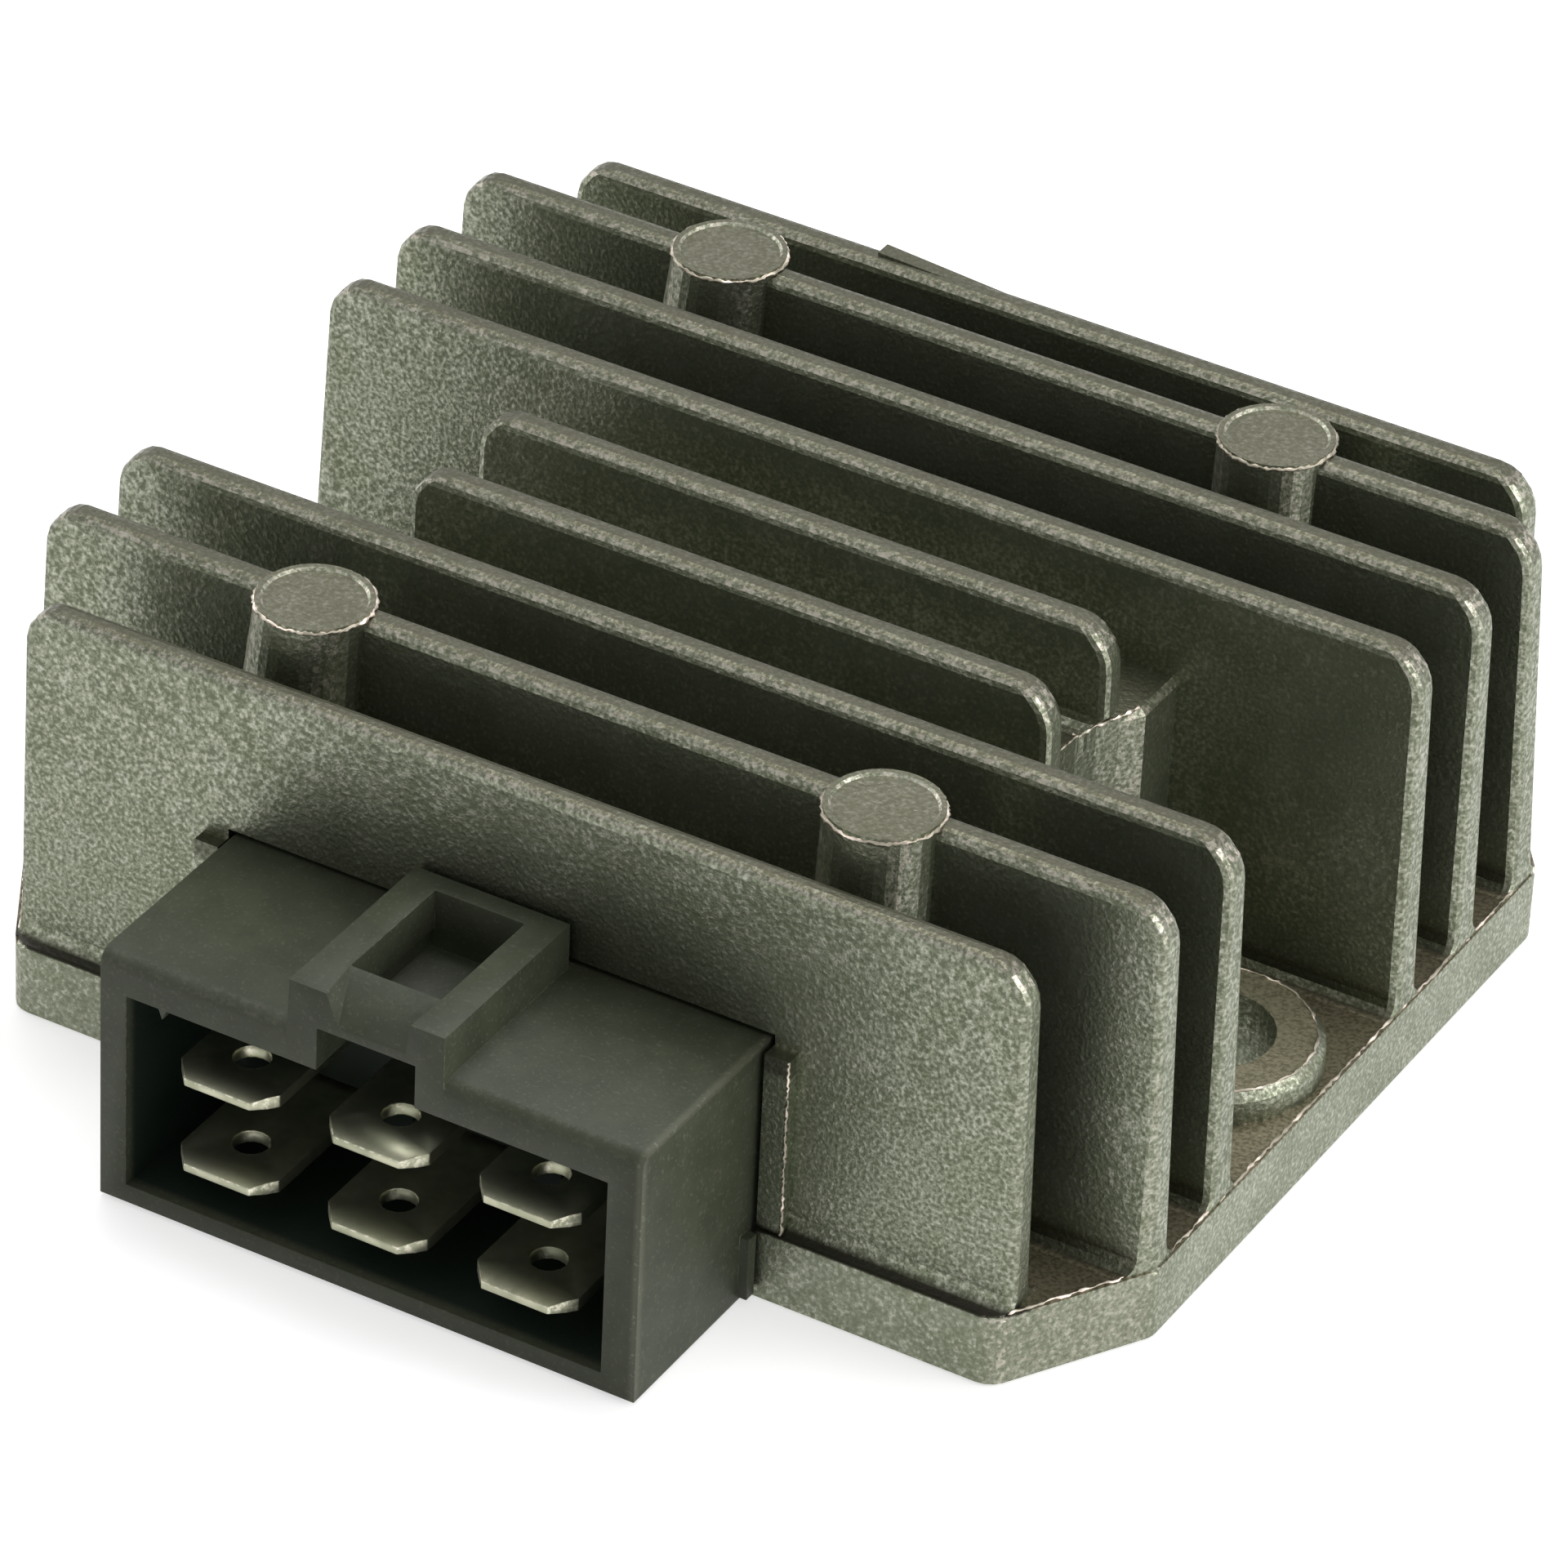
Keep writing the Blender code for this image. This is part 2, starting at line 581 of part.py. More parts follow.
def blade_place(column, row):
    """Middle of a blade; columns are -1, 0 and 1 and rows are 0 below and 1 above."""
    x = BLADE_CENTRE_X + column * BLADE_COLUMN_PITCH
    z = BLADE_ROW_CENTRE + (row - 0.5) * BLADE_ROW_PITCH
    return x, z


def socket_shell():
    """Outer form of the housing, with a soft brow along the top of its mouth."""
    shape = box((SOCKET_LEFT, SOCKET_FRONT, SOCKET_BOTTOM), (SOCKET_RIGHT, SOCKET_BACK, SOCKET_TOP))
    bevel_where(shape, SOCKET_BROW_BEVEL, lambda co: near(co.z, SOCKET_TOP) and near(co.y, SOCKET_FRONT), 3)
    return shape


def latch_frame():
    """Raised frame for the mating latch, with a front bar that slopes down between two gussets."""
    outer_left = LATCH_LEFT - LATCH_WALL
    outer_right = LATCH_RIGHT + LATCH_WALL
    foot = SOCKET_TOP - SUNK
    frame = new_piece("latch", box((outer_left, SOCKET_FRONT, foot), (outer_right, LATCH_BACK, LATCH_TOP)))
    inner_front = SOCKET_FRONT + LATCH_FRONT_BAR
    inner_back = LATCH_BACK - LATCH_BACK_BAR
    window_left = LATCH_LEFT + LATCH_LIP_OVERHANG
    window_right = LATCH_RIGHT - LATCH_LIP_OVERHANG
    window = box((window_left, inner_front, foot - SUNK), (window_right, inner_back, LATCH_TOP + SUNK))
    cut(frame, new_piece("window", window))
    lip_top = LATCH_TOP - LATCH_LIP_DROP
    before = SOCKET_FRONT - SUNK
    low = lip_top - LATCH_LIP_DROP * SUNK / LATCH_FRONT_BAR
    high = LATCH_TOP + SUNK
    ends = []
    for x, low_x in ((window_left, window_left + LATCH_LEFT_GUSSET), (window_right, window_right - LATCH_RIGHT_GUSSET)):
        ends.append([(x, inner_front, LATCH_TOP), (x, inner_front, high), (x, before, high), (low_x, before, low)])
    ramp = loft(ends)
    bmesh.ops.triangulate(ramp, faces=ramp.faces)
    cut(frame, new_piece("ramp", ramp))
    return frame


def key_rib():
    """Small three-sided rib that hangs from the roof inside the mouth."""
    x = SOCKET_LEFT + SOCKET_LEFT_WALL + KEY_RIB_INSET
    top = SOCKET_CEILING + SEAT_GAP
    side = [(x - KEY_RIB_WIDTH / 2, top), (x, SOCKET_CEILING - KEY_RIB_DROP), (x + KEY_RIB_WIDTH / 2, top)]
    return loft([[(px, y, pz) for px, pz in side] for y in (SOCKET_FRONT + KEY_RIB_SETBACK, SOCKET_END + SEAT_GAP)])


def connector_housing(material, parent):
    housing = new_piece("connector_housing", socket_shell(), material, parent)
    join(housing, latch_frame())
    flange_back = PLATE_FRONT - SEAT_GAP
    flange_front = flange_back - SOCKET_FLANGE_THICKNESS
    flange_left = SOCKET_LEFT - SOCKET_FLANGE_PROUD
    flange_right = SOCKET_RIGHT + SOCKET_FLANGE_PROUD
    flange_bottom = SOCKET_BOTTOM + SOCKET_FLANGE_LIFT
    flange = box((flange_left, flange_front, flange_bottom), (flange_right, flange_back, PLATE_THICKNESS))
    join(housing, new_piece("flange", flange))

    mouth_left = SOCKET_LEFT + SOCKET_LEFT_WALL
    mouth_right = SOCKET_RIGHT - SOCKET_RIGHT_WALL
    before = SOCKET_FRONT - SUNK
    mouth = box((mouth_left, before, SOCKET_FLOOR), (mouth_right, SOCKET_END, SOCKET_CEILING))
    cut(housing, new_piece("mouth", mouth))
    throat_top = LATCH_TOP - LATCH_LIP_DROP - LATCH_LIP_THICKNESS
    throat_back = SOCKET_FRONT + LATCH_MOUTH_DEPTH
    throat = box((LATCH_LEFT, before, SOCKET_CEILING - SUNK), (LATCH_RIGHT, throat_back, throat_top))
    cut(housing, new_piece("throat", throat))
    pocket_front = throat_back - SUNK
    pocket_back = LATCH_BACK - LATCH_BACK_BAR
    pocket_floor = SOCKET_TOP - LATCH_POCKET_DEPTH
    pocket = box((LATCH_LEFT, pocket_front, pocket_floor), (LATCH_RIGHT, pocket_back, throat_top))
    cut(housing, new_piece("pocket", pocket))
    join(housing, new_piece("key", key_rib()))

    for column in (-1, 0, 1):
        for row in (0, 1):
            x, z = blade_place(column, row)
            half_width = BLADE_WIDTH / 2 + BLADE_SLOT_GAP
            half_height = BLADE_THICKNESS / 2 + BLADE_SLOT_GAP
            low = (x - half_width, SOCKET_END - SUNK, z - half_height)
            high = (x + half_width, SOCKET_BACK + SUNK, z + half_height)
            cut(housing, new_piece("slot", box(low, high)))
    return housing


def terminal_bend_y(row):
    """Where the tail of a blade turns up: the lower row turns further back."""
    return SOCKET_BACK + UPPER_TAIL_RUN + (1 - row) * TAIL_STAGGER


def terminal(column, row, grow=0.0, flat_start=None):
    """Blade with a chamfered nose, and a narrow tail that turns up to the board."""
    x, z = blade_place(column, row)
    tip = SOCKET_FRONT + BLADE_RECESS
    half = BLADE_THICKNESS / 2 + grow
    wide = BLADE_WIDTH / 2 + grow
    narrow = TAIL_WIDTH / 2 + grow
    shoulder = SOCKET_BACK + BLADE_SHOULDER + grow
    bend_y = terminal_bend_y(row)
    tail_top = BOARD_TOP + TAIL_ABOVE_BOARD + grow

    def across(y, half_width, half_thickness):
        return [
            (x - half_width, y, z - half_thickness),
            (x + half_width, y, z - half_thickness),
            (x + half_width, y, z + half_thickness),
            (x - half_width, y, z + half_thickness),
        ]

    if flat_start is None:
        nose_width = wide - BLADE_CORNER_X
        lead_width = nose_width + BLADE_CORNER_X * BLADE_LEAD_IN / BLADE_CORNER_Y
        sections = [
            across(tip, nose_width, BLADE_NOSE_THICKNESS / 2),
            across(tip + BLADE_LEAD_IN, lead_width, half),
            across(tip + BLADE_CORNER_Y, wide, half),
        ]
    else:
        sections = [across(flat_start, wide, half)]
    sections += [across(shoulder, wide, half), across(shoulder + BLADE_SHOULDER_TAPER, narrow, half)]
    turn_z = z + TAIL_BEND_RADIUS
    for step in range(ARC_STEPS + 1):
        angle = math.pi / 2 * step / ARC_STEPS
        ring = []
        for side, depth in ((-1, 1), (1, 1), (1, -1), (-1, -1)):
            radius = TAIL_BEND_RADIUS + depth * half
            y = bend_y - TAIL_BEND_RADIUS + radius * math.sin(angle)
            ring.append((x + side * narrow, y, turn_z - radius * math.cos(angle)))
        sections.append(ring)
    sections.append([(point[0], point[1], tail_top) for point in sections[-1]])
    return loft(sections)


def blade_terminals(material, parent):
    number = 1
    for row in (1, 0):
        for column in (-1, 0, 1):
            piece = new_piece(f"blade_terminal_{number}", terminal(column, row), material, parent)
            x, z = blade_place(column, row)
            hole_y = SOCKET_FRONT + BLADE_RECESS + BLADE_HOLE_SETBACK
            depth = BLADE_THICKNESS
            rings = [circle(BLADE_HOLE_RADIUS, z + side * depth, x, hole_y, SMALL_ROUND_STEPS) for side in (-1, 1)]
            cut(piece, new_piece("punch", loft(rings)))
            number += 1


def substrate(grow=0.0):
    x = CAVITY_HALF_LENGTH - SEAT_GAP - SUBSTRATE_MARGIN + grow
    y0 = CAVITY_FRONT + SEAT_GAP + SUBSTRATE_MARGIN - grow
    y1 = CAVITY_BACK - SEAT_GAP - SUBSTRATE_MARGIN + grow
    corners = [(-x, y0), (x, y0), (x, y1), (-x, y1)]
    outline = rounded_outline(corners, CAVITY_CORNER_ROUND + grow)
    return prism(outline, SUBSTRATE_BOTTOM - grow, SUBSTRATE_TOP + grow)


def moulded_block(x, y, top, length, width, height, grow=0.0):
    """Flat moulded package whose sides lean in from a middle line."""
    sections = []
    for z, lean in ((top + grow, DEVICE_DRAFT), (top - height / 2, 0.0), (top - height - grow, DEVICE_DRAFT)):
        hx = length / 2 - lean + grow
        hy = width / 2 - lean + grow
        sections.append([(x - hx, y - hy, z), (x + hx, y - hy, z), (x + hx, y + hy, z), (x - hx, y + hy, z)])
    return loft(sections)


def device_place(column, row):
    x = column * DEVICE_COLUMN_PITCH
    y = CAVITY_MIDDLE_Y + (row - 0.5) * DEVICE_ROW_PITCH
    return x, y


def power_device(column, row, grow=0.0):
    x, y = device_place(column, row)
    return moulded_block(x, y, DEVICE_TOP, DEVICE_LENGTH, DEVICE_WIDTH, DEVICE_HEIGHT, grow)


def board_outline(grow=0.0):
    x0 = BOARD_LEFT - grow
    x1 = BOARD_RIGHT + grow
    y0 = BOARD_FRONT - grow
    y1 = BOARD_BACK + grow
    return rounded_outline([(x0, y0), (x1, y0), (x1, y1), (x0, y1)], BOARD_CORNER_ROUND + grow)


def link_pin_places():
    """Two rows of pins between the columns of power devices."""
    places = []
    for side in (-0.5, 0.5):
        for step in (-1, 0, 1):
            places.append((side * DEVICE_COLUMN_PITCH, CAVITY_MIDDLE_Y + step * PIN_PITCH))
    return places


def link_pin(place, grow=0.0):
    x, y = place
    radius = PIN_RADIUS + grow
    low = BOARD_BOTTOM - PIN_BELOW_BOARD - grow
    high = SUBSTRATE_BOTTOM - SEAT_GAP + grow
    return loft([circle(radius, low, x, y, SMALL_ROUND_STEPS), circle(radius, high, x, y, SMALL_ROUND_STEPS)])


def control_board(material, parent):
    board = new_piece("control_board", prism(board_outline(), BOARD_BOTTOM, BOARD_TOP), material, parent)
    low = BOARD_BOTTOM - SUNK
    high = BOARD_TOP + SUNK
    for row in (0, 1):
        for column in (-1, 0, 1):
            x = blade_place(column, row)[0]
            y = terminal_bend_y(row)
            half_width = TAIL_WIDTH / 2 + BLADE_SLOT_GAP
            half_depth = BLADE_THICKNESS / 2 + BLADE_SLOT_GAP
            slot = box((x - half_width, y - half_depth, low), (x + half_width, y + half_depth, high))
            cut(board, new_piece("slot", slot))
    for x, y in link_pin_places():
        radius = PIN_RADIUS + BLADE_SLOT_GAP
        rings = [circle(radius, z, x, y, SMALL_ROUND_STEPS) for z in (low, high)]
        cut(board, new_piece("hole", loft(rings)))
    return board


def lying_rod(x, y, radius, length, grow=0.0):
    """Round part that lies along X just below the board, with chamfered ends."""
    z = PART_TOP - radius
    full = radius + grow
    end = full * ROD_END_SHARE
    half = length / 2 + grow
    sections = []
    for along, size in ((-half, end), (-half + radius / 2, full), (half - radius / 2, full), (half, end)):
        ring = circle(size, 0.0, steps=SMALL_ROUND_STEPS)
        sections.append([(x + along, y + point[0], z + point[1]) for point in ring])
    return loft(sections)


def chip(grow=0.0):
    x = -DEVICE_COLUMN_PITCH + PIN_RADIUS
    return moulded_block(x, CAVITY_MIDDLE_Y, PART_TOP, CHIP_LENGTH, CHIP_WIDTH, CHIP_HEIGHT, grow)


def capacitor(grow=0.0):
    x = DEVICE_COLUMN_PITCH
    radius = CAPACITOR_RADIUS + grow
    low = PART_TOP - CAPACITOR_HEIGHT - grow
    high = PART_TOP + grow
    return loft(
        [
            circle(radius - CAPACITOR_CHAMFER, low, x, CAVITY_MIDDLE_Y, SMALL_ROUND_STEPS),
            circle(radius, low + CAPACITOR_CHAMFER, x, CAVITY_MIDDLE_Y, SMALL_ROUND_STEPS),
            circle(radius, high, x, CAVITY_MIDDLE_Y, SMALL_ROUND_STEPS),
        ]
    )


def resistor(number, grow=0.0):
    y = CAVITY_MIDDLE_Y + (number - 2) * RESISTOR_PITCH
    return lying_rod(0.0, y, RESISTOR_RADIUS, RESISTOR_LENGTH, grow)


def zener(grow=0.0):
    y = CAVITY_MIDDLE_Y - 2 * RESISTOR_PITCH - ZENER_RADIUS
    return lying_rod(0.0, y, ZENER_RADIUS, ZENER_LENGTH, grow)


def electronics(materials, parent):
    """Everything that the compound seals in, under the roof of the block."""
    new_piece("substrate_plate", substrate(), materials["substrate"], parent)
    for row, kind in ((0, "thyristor"), (1, "diode")):
        for column in (-1, 0, 1):
            new_piece(f"{kind}_{column + 2}", power_device(column, row), materials["package"], parent)
    control_board(materials["board"], parent)
    for number, place in enumerate(link_pin_places(), start=1):
        new_piece(f"link_pin_{number}", link_pin(place), materials["tinned"], parent)
    new_piece("control_chip", chip(), materials["package"], parent)
    new_piece("capacitor", capacitor(), materials["can"], parent)
    for number in (1, 2, 3):
        new_piece(f"resistor_{number}", resistor(number), materials["resistor"], parent)
    new_piece("zener_diode", zener(), materials["package"], parent)


def potting_compound(material, parent):
    """Compound that fills the casting, with a pocket round each piece it holds."""
    room, hall = cavity_shapes(COMPOUND_GAP, COMPOUND_RECESS)
    fill = new_piece("potting_compound", room, material, parent)
    join(fill, new_piece("hall", hall))
    gap = COMPOUND_GAP
    pockets = [substrate(gap), chip(gap), capacitor(gap), zener(gap)]
    pockets.append(prism(board_outline(gap), BOARD_BOTTOM - gap, BOARD_TOP + gap))
    pockets += [power_device(column, row, gap) for column in (-1, 0, 1) for row in (0, 1)]
    pockets += [link_pin(place, gap) for place in link_pin_places()]
    pockets += [resistor(number, gap) for number in (1, 2, 3)]
    start = SOCKET_BACK - SUNK
    pockets += [terminal(column, row, gap, start) for column in (-1, 0, 1) for row in (0, 1)]
    cut(fill, *[new_piece("pocket", pocket) for pocket in pockets])
    return fill


def shade(piece):
    """Smooth shading with sharp edges kept."""
    piece.data.shade_smooth()
    piece.data.set_sharp_from_angle(angle=math.radians(30))


def build():
    clear_objects()
    whole = bpy.data.objects.new("regulator", None)
    bpy.context.scene.collection.objects.link(whole)
    materials = {
        "casting": make_material("cast_aluminium", (0.31, 0.31, 0.27), 0.62, 0.75),
        "socket": make_material("black_plastic", (0.035, 0.037, 0.034), 0.55, 0.0),
        "tinned": make_material("tinned_brass", (0.72, 0.69, 0.60), 0.28, 1.0),
        "substrate": make_material("substrate_metal", (0.60, 0.61, 0.62), 0.40, 0.9),
        "package": make_material("moulded_package", (0.03, 0.03, 0.03), 0.50, 0.0),
        "board": make_material("board_laminate", (0.05, 0.20, 0.09), 0.45, 0.0),
        "can": make_material("capacitor_can", (0.55, 0.56, 0.58), 0.35, 1.0),
        "resistor": make_material("resistor_coat", (0.45, 0.33, 0.20), 0.50, 0.0),
        "compound": make_material("sealing_compound", (0.02, 0.02, 0.02), 0.35, 0.0),
    }
    heat_sink(materials["casting"], whole)
    connector_housing(materials["socket"], whole)
    blade_terminals(materials["tinned"], whole)
    electronics(materials, whole)
    potting_compound(materials["compound"], whole)
    for piece in bpy.data.objects:
        if piece.type == "MESH":
            shade(piece)
    whole.location = (0.0, -MIDDLE_OF_LENGTH_Y, 0.0)


build()
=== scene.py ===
# %% [markdown]
# # Looks of the voltage regulator rectifier
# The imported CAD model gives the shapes. This script gives each piece its finish, rounds the edges
# of the moulded parts, adds the ragged casting flash, and sets up the camera, floor and lights.
# All lengths are in metres; `MM` stands for a millimetre where a small distance is easier to read.

import json
import math
import random

import bpy
from mathutils import Matrix, Vector, geometry

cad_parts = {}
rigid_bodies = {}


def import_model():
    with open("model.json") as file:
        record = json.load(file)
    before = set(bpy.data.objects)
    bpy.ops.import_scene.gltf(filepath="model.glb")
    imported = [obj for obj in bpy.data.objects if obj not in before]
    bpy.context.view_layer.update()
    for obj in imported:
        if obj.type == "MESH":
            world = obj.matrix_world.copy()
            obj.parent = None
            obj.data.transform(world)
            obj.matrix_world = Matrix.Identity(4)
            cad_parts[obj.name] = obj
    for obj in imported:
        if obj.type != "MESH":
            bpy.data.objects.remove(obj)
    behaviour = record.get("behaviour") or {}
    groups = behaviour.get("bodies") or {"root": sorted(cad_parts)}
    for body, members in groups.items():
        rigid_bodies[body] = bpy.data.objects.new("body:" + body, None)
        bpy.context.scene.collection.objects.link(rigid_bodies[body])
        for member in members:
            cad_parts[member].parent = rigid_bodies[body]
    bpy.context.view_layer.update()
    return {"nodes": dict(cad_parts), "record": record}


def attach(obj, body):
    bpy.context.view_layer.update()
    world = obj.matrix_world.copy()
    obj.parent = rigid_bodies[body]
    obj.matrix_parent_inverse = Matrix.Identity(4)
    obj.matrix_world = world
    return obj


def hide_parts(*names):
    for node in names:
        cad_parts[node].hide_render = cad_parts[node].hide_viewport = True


MM = 0.001
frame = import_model()
nodes = frame["nodes"]

# %% [markdown]
# ## Camera
# The place, the view direction and the lens were fitted to the picture of the real part, so that
# each corner falls where it does there. A long lens keeps the fins nearly parallel. The three axes
# of the camera are worked out from the view direction and an upward hint. The Standard view shows
# each colour as it is written.

# %% Place the camera
SENSOR_WIDTH = 36.0
FOCAL_LENGTH = 220.4
FAR_CLIP = 20.0
CAMERA_PLACE = Vector((0.21464, -0.38308, 0.31149))
VIEW_DIRECTION = Vector((-0.3994, 0.7243, -0.5620))
UPWARD_HINT = Vector((-0.3139, 0.4679, 0.8261))
camera_data = bpy.data.cameras.new("camera")
camera_data.sensor_width = SENSOR_WIDTH
camera_data.lens = FOCAL_LENGTH
camera_data.clip_end = FAR_CLIP
camera = bpy.data.objects.new("camera", camera_data)
bpy.context.scene.collection.objects.link(camera)
look = VIEW_DIRECTION.normalized()
right = look.cross(UPWARD_HINT).normalized()
up = right.cross(look)
camera.matrix_world = Matrix((right, up, -look)).transposed().to_4x4()
camera.location = CAMERA_PLACE
bpy.context.scene.camera = camera
bpy.context.scene.view_settings.view_transform = "Standard"
print("camera at", [round(v, 3) for v in camera.location])

# %% [markdown]
# ## Small helpers for node trees
# Every material below is built from a few nodes. These short functions keep the cells readable:
# a sum, a product, a smooth step up or down and a blend of two colours are one line each.

# %% Helper: add a node
def add_node(tree, kind, settings=None, **inputs):
    """Add a node; settings are its properties, inputs are values or sockets by name or as i0, i1."""
    made = tree.nodes.new(kind)
    for key, value in (settings or {}).items():
        setattr(made, key, value)
    for key, value in inputs.items():
        by_number = key[0] == "i" and key[1:].isdigit()
        socket = made.inputs[int(key[1:])] if by_number else made.inputs[key.replace("_", " ")]
        if isinstance(value, bpy.types.NodeSocket):
            tree.links.new(value, socket)
        else:
            socket.default_value = value
    return made


print("helper ready")


# %% Helpers: sums and smooth steps
def calculate(tree, operation, first, second=0.0, third=0.0):
    """A maths node between values or sockets; returns its output."""
    settings = {"operation": operation}
    return add_node(tree, "ShaderNodeMath", settings, i0=first, i1=second, i2=third).outputs[0]


def product(tree, first, *others):
    """Multiply two or more values or sockets; returns the last output."""
    for other in others:
        first = calculate(tree, "MULTIPLY", first, other)
    return first


def ramp(tree, value, low, high, to_low=0.0, to_high=1.0):
    """A smooth step of a value from one range to another; returns its output."""
    settings = {"interpolation_type": "SMOOTHSTEP"}
    limits = {"i1": low, "i2": high, "i3": to_low, "i4": to_high}
    return add_node(tree, "ShaderNodeMapRange", settings, i0=value, **limits).outputs[0]


def fade(tree, value, low, high):
    """The step turned round: 1 up to the low value and 0 from the high one."""
    return ramp(tree, value, low, high, 1.0, 0.0)


print("helpers ready")


# %% Helpers: noise and blended colours
def noise(tree, place, scale, detail, roughness):
    """A noise texture at a place; returns its grey output."""
    values = {"Vector": place, "Scale": scale, "Detail": detail, "Roughness": roughness}
    return add_node(tree, "ShaderNodeTexNoise", **values).outputs[0]


def blend_colours(tree, share, first, second):
    """Mix two colours by a share of the second; returns the colour output."""
    settings = {"data_type": "RGBA", "blend_type": "MIX"}
    return add_node(tree, "ShaderNodeMix", settings, i0=share, i6=first, i7=second).outputs[2]


print("helpers ready")

# %% [markdown]
# ## Grain of the die casting
# Shot blasting leaves dimples about a quarter of a millimetre across and a slow change of tone. The
# glints of the dimples are painted into the colour as pale specks, the same wherever the light
# comes from. Real dimples would need millions of faces, so noise makes them. One group holds the
# grain, so that its scales are written once.

# %% Helpers: build a group and place it
def new_group(name, inputs, outputs):
    """A shader node group that takes vectors and gives masks; returns its tree, inputs and ends."""
    tree = bpy.data.node_groups.new(name, "ShaderNodeTree")
    for label in inputs:
        tree.interface.new_socket(label, in_out="INPUT", socket_type="NodeSocketVector")
    for label in outputs:
        tree.interface.new_socket(label, in_out="OUTPUT", socket_type="NodeSocketFloat")
    start = tree.nodes.new("NodeGroupInput")
    end = tree.nodes.new("NodeGroupOutput")
    return tree, start.outputs, end.inputs


def use_group(tree, group, **inputs):
    """Place a group in a material; returns its outputs."""
    return add_node(tree, "ShaderNodeGroup", {"node_tree": group}, **inputs).outputs


print("helpers ready")

# %% Group: blasted grain
DIMPLE_SCALE = 3900.0
PIT_SCALE = 2600.0
CLOUD_SCALE = 260.0
PIT_SHARE = 0.35
CLOUD_RANGE = (0.32, 0.68)
SPECKLE_RANGE = (0.34, 0.60)
GLINT_RANGE = (0.54, 0.72)
grain, g_in, g_out = new_group("blasted_grain", ["Place"], ["Height", "Tone", "Speckle", "Glint"])
dimples = noise(grain, g_in["Place"], DIMPLE_SCALE, detail=2.0, roughness=0.55)
pits = add_node(grain, "ShaderNodeTexVoronoi", Vector=g_in["Place"], Scale=PIT_SCALE)
clouds = noise(grain, g_in["Place"], CLOUD_SCALE, detail=3.0, roughness=0.6)
height = calculate(grain, "MULTIPLY_ADD", pits.outputs["Distance"], PIT_SHARE, dimples)
grain.links.new(height, g_out["Height"])
grain.links.new(ramp(grain, clouds, *CLOUD_RANGE), g_out["Tone"])
grain.links.new(ramp(grain, dimples, *SPECKLE_RANGE), g_out["Speckle"])
grain.links.new(ramp(grain, dimples, *GLINT_RANGE), g_out["Glint"])
print("group:", grain.name)

# %% [markdown]
# ## Worn edges and painted edge highlight
# Tumbling and handling polish the corners. A face that leans between two main directions lies on a
# rounding, so the tilt of the object's own normal shows where an edge is. Blender can also measure
# how pointed a mesh is, but that needs many vertices beside each edge, which this casting lacks.
# Noise breaks the worn line up, because no edge wears evenly. On the casting and the socket the pale
# edges stand partly for wear and partly for a painted edge highlight.

# %% Group: worn edges, also used as painted edge highlight
LEANING = (0.72, 0.97)
BREAK_SCALE = 2600.0
BREAK_RANGE = (0.44, 0.62)
edges, e_in, e_out = new_group("worn_and_highlight_edges", ["Normal", "Place"], ["Wear"])
parts = add_node(edges, "ShaderNodeSeparateXYZ", i0=e_in["Normal"]).outputs
sizes = [calculate(edges, "ABSOLUTE", part) for part in parts]
most = calculate(edges, "MAXIMUM", calculate(edges, "MAXIMUM", sizes[0], sizes[1]), sizes[2])
tilt = fade(edges, most, *LEANING)
spots = noise(edges, e_in["Place"], BREAK_SCALE, detail=3.0, roughness=0.7)
broken = ramp(edges, spots, *BREAK_RANGE)
edges.links.new(product(edges, tilt, broken), e_out["Wear"])
print("group:", edges.name)

# %% [markdown]
# ## Cast aluminium
# Greenish grey metal with bright glints, which are a painted highlight in its colour. It is nearly a
# full metal, so it takes its light and dark from what it mirrors. Blasting dulls it, so the rough
# value is high and changes with the speckle. The cut rim of the plate is calmer than the rest. A
# picture of metal would need the casting to be unwrapped, while noise reads its place directly and
# has no seams.

# %% Helpers: start a material, read its surface, lean its normal
def new_material(name):
    """An empty Principled material; returns it with its tree and shader."""
    material = bpy.data.materials.new(name)
    material.use_nodes = True
    return material, material.node_tree, material.node_tree.nodes["Principled BSDF"]


def read_surface(tree):
    """Object coordinates and normal as vectors, then both split into X, Y and Z."""
    where = add_node(tree, "ShaderNodeTexCoord")
    place, normal = where.outputs["Object"], where.outputs["Normal"]
    at = add_node(tree, "ShaderNodeSeparateXYZ", i0=place).outputs
    facing = add_node(tree, "ShaderNodeSeparateXYZ", i0=normal).outputs
    return place, normal, at, facing


def add_bump(tree, shader, height, strength, distance):
    """Let a height lean the normal a little."""
    bump = add_node(tree, "ShaderNodeBump", Strength=strength, Distance=distance, Height=height)
    tree.links.new(bump.outputs["Normal"], shader.inputs["Normal"])


print("helpers ready")

# %% Material: cast aluminium, clean metal
PLATE_TOP = 0.0044
RIM_TOP = (PLATE_TOP - 0.3 * MM, PLATE_TOP)
SPECKLE_CONTRAST = 0.68
RIM_CONTRAST = 0.40
PAINTED_GLINT_SHARE = 0.42
DARK_CAST = (0.216, 0.233, 0.166, 1)
LIGHT_CAST = (0.274, 0.290, 0.220, 1)
SPECKLE_CAST = (0.080, 0.095, 0.055, 1)
PAINTED_GLINT_COLOUR = (0.62, 0.62, 0.54, 1)
casting, tree, shader = new_material("casting_finish")
place, normal, at, facing = read_surface(tree)
cast_grain = use_group(tree, grain, Place=place)
colour = blend_colours(tree, cast_grain["Tone"], DARK_CAST, LIGHT_CAST)
contrast = ramp(tree, fade(tree, at["Z"], *RIM_TOP), 0.0, 1.0, SPECKLE_CONTRAST, RIM_CONTRAST)
shaded = product(tree, calculate(tree, "SUBTRACT", 1.0, cast_grain["Speckle"]), contrast)
shaded = calculate(tree, "SUBTRACT", 1.0, shaded)
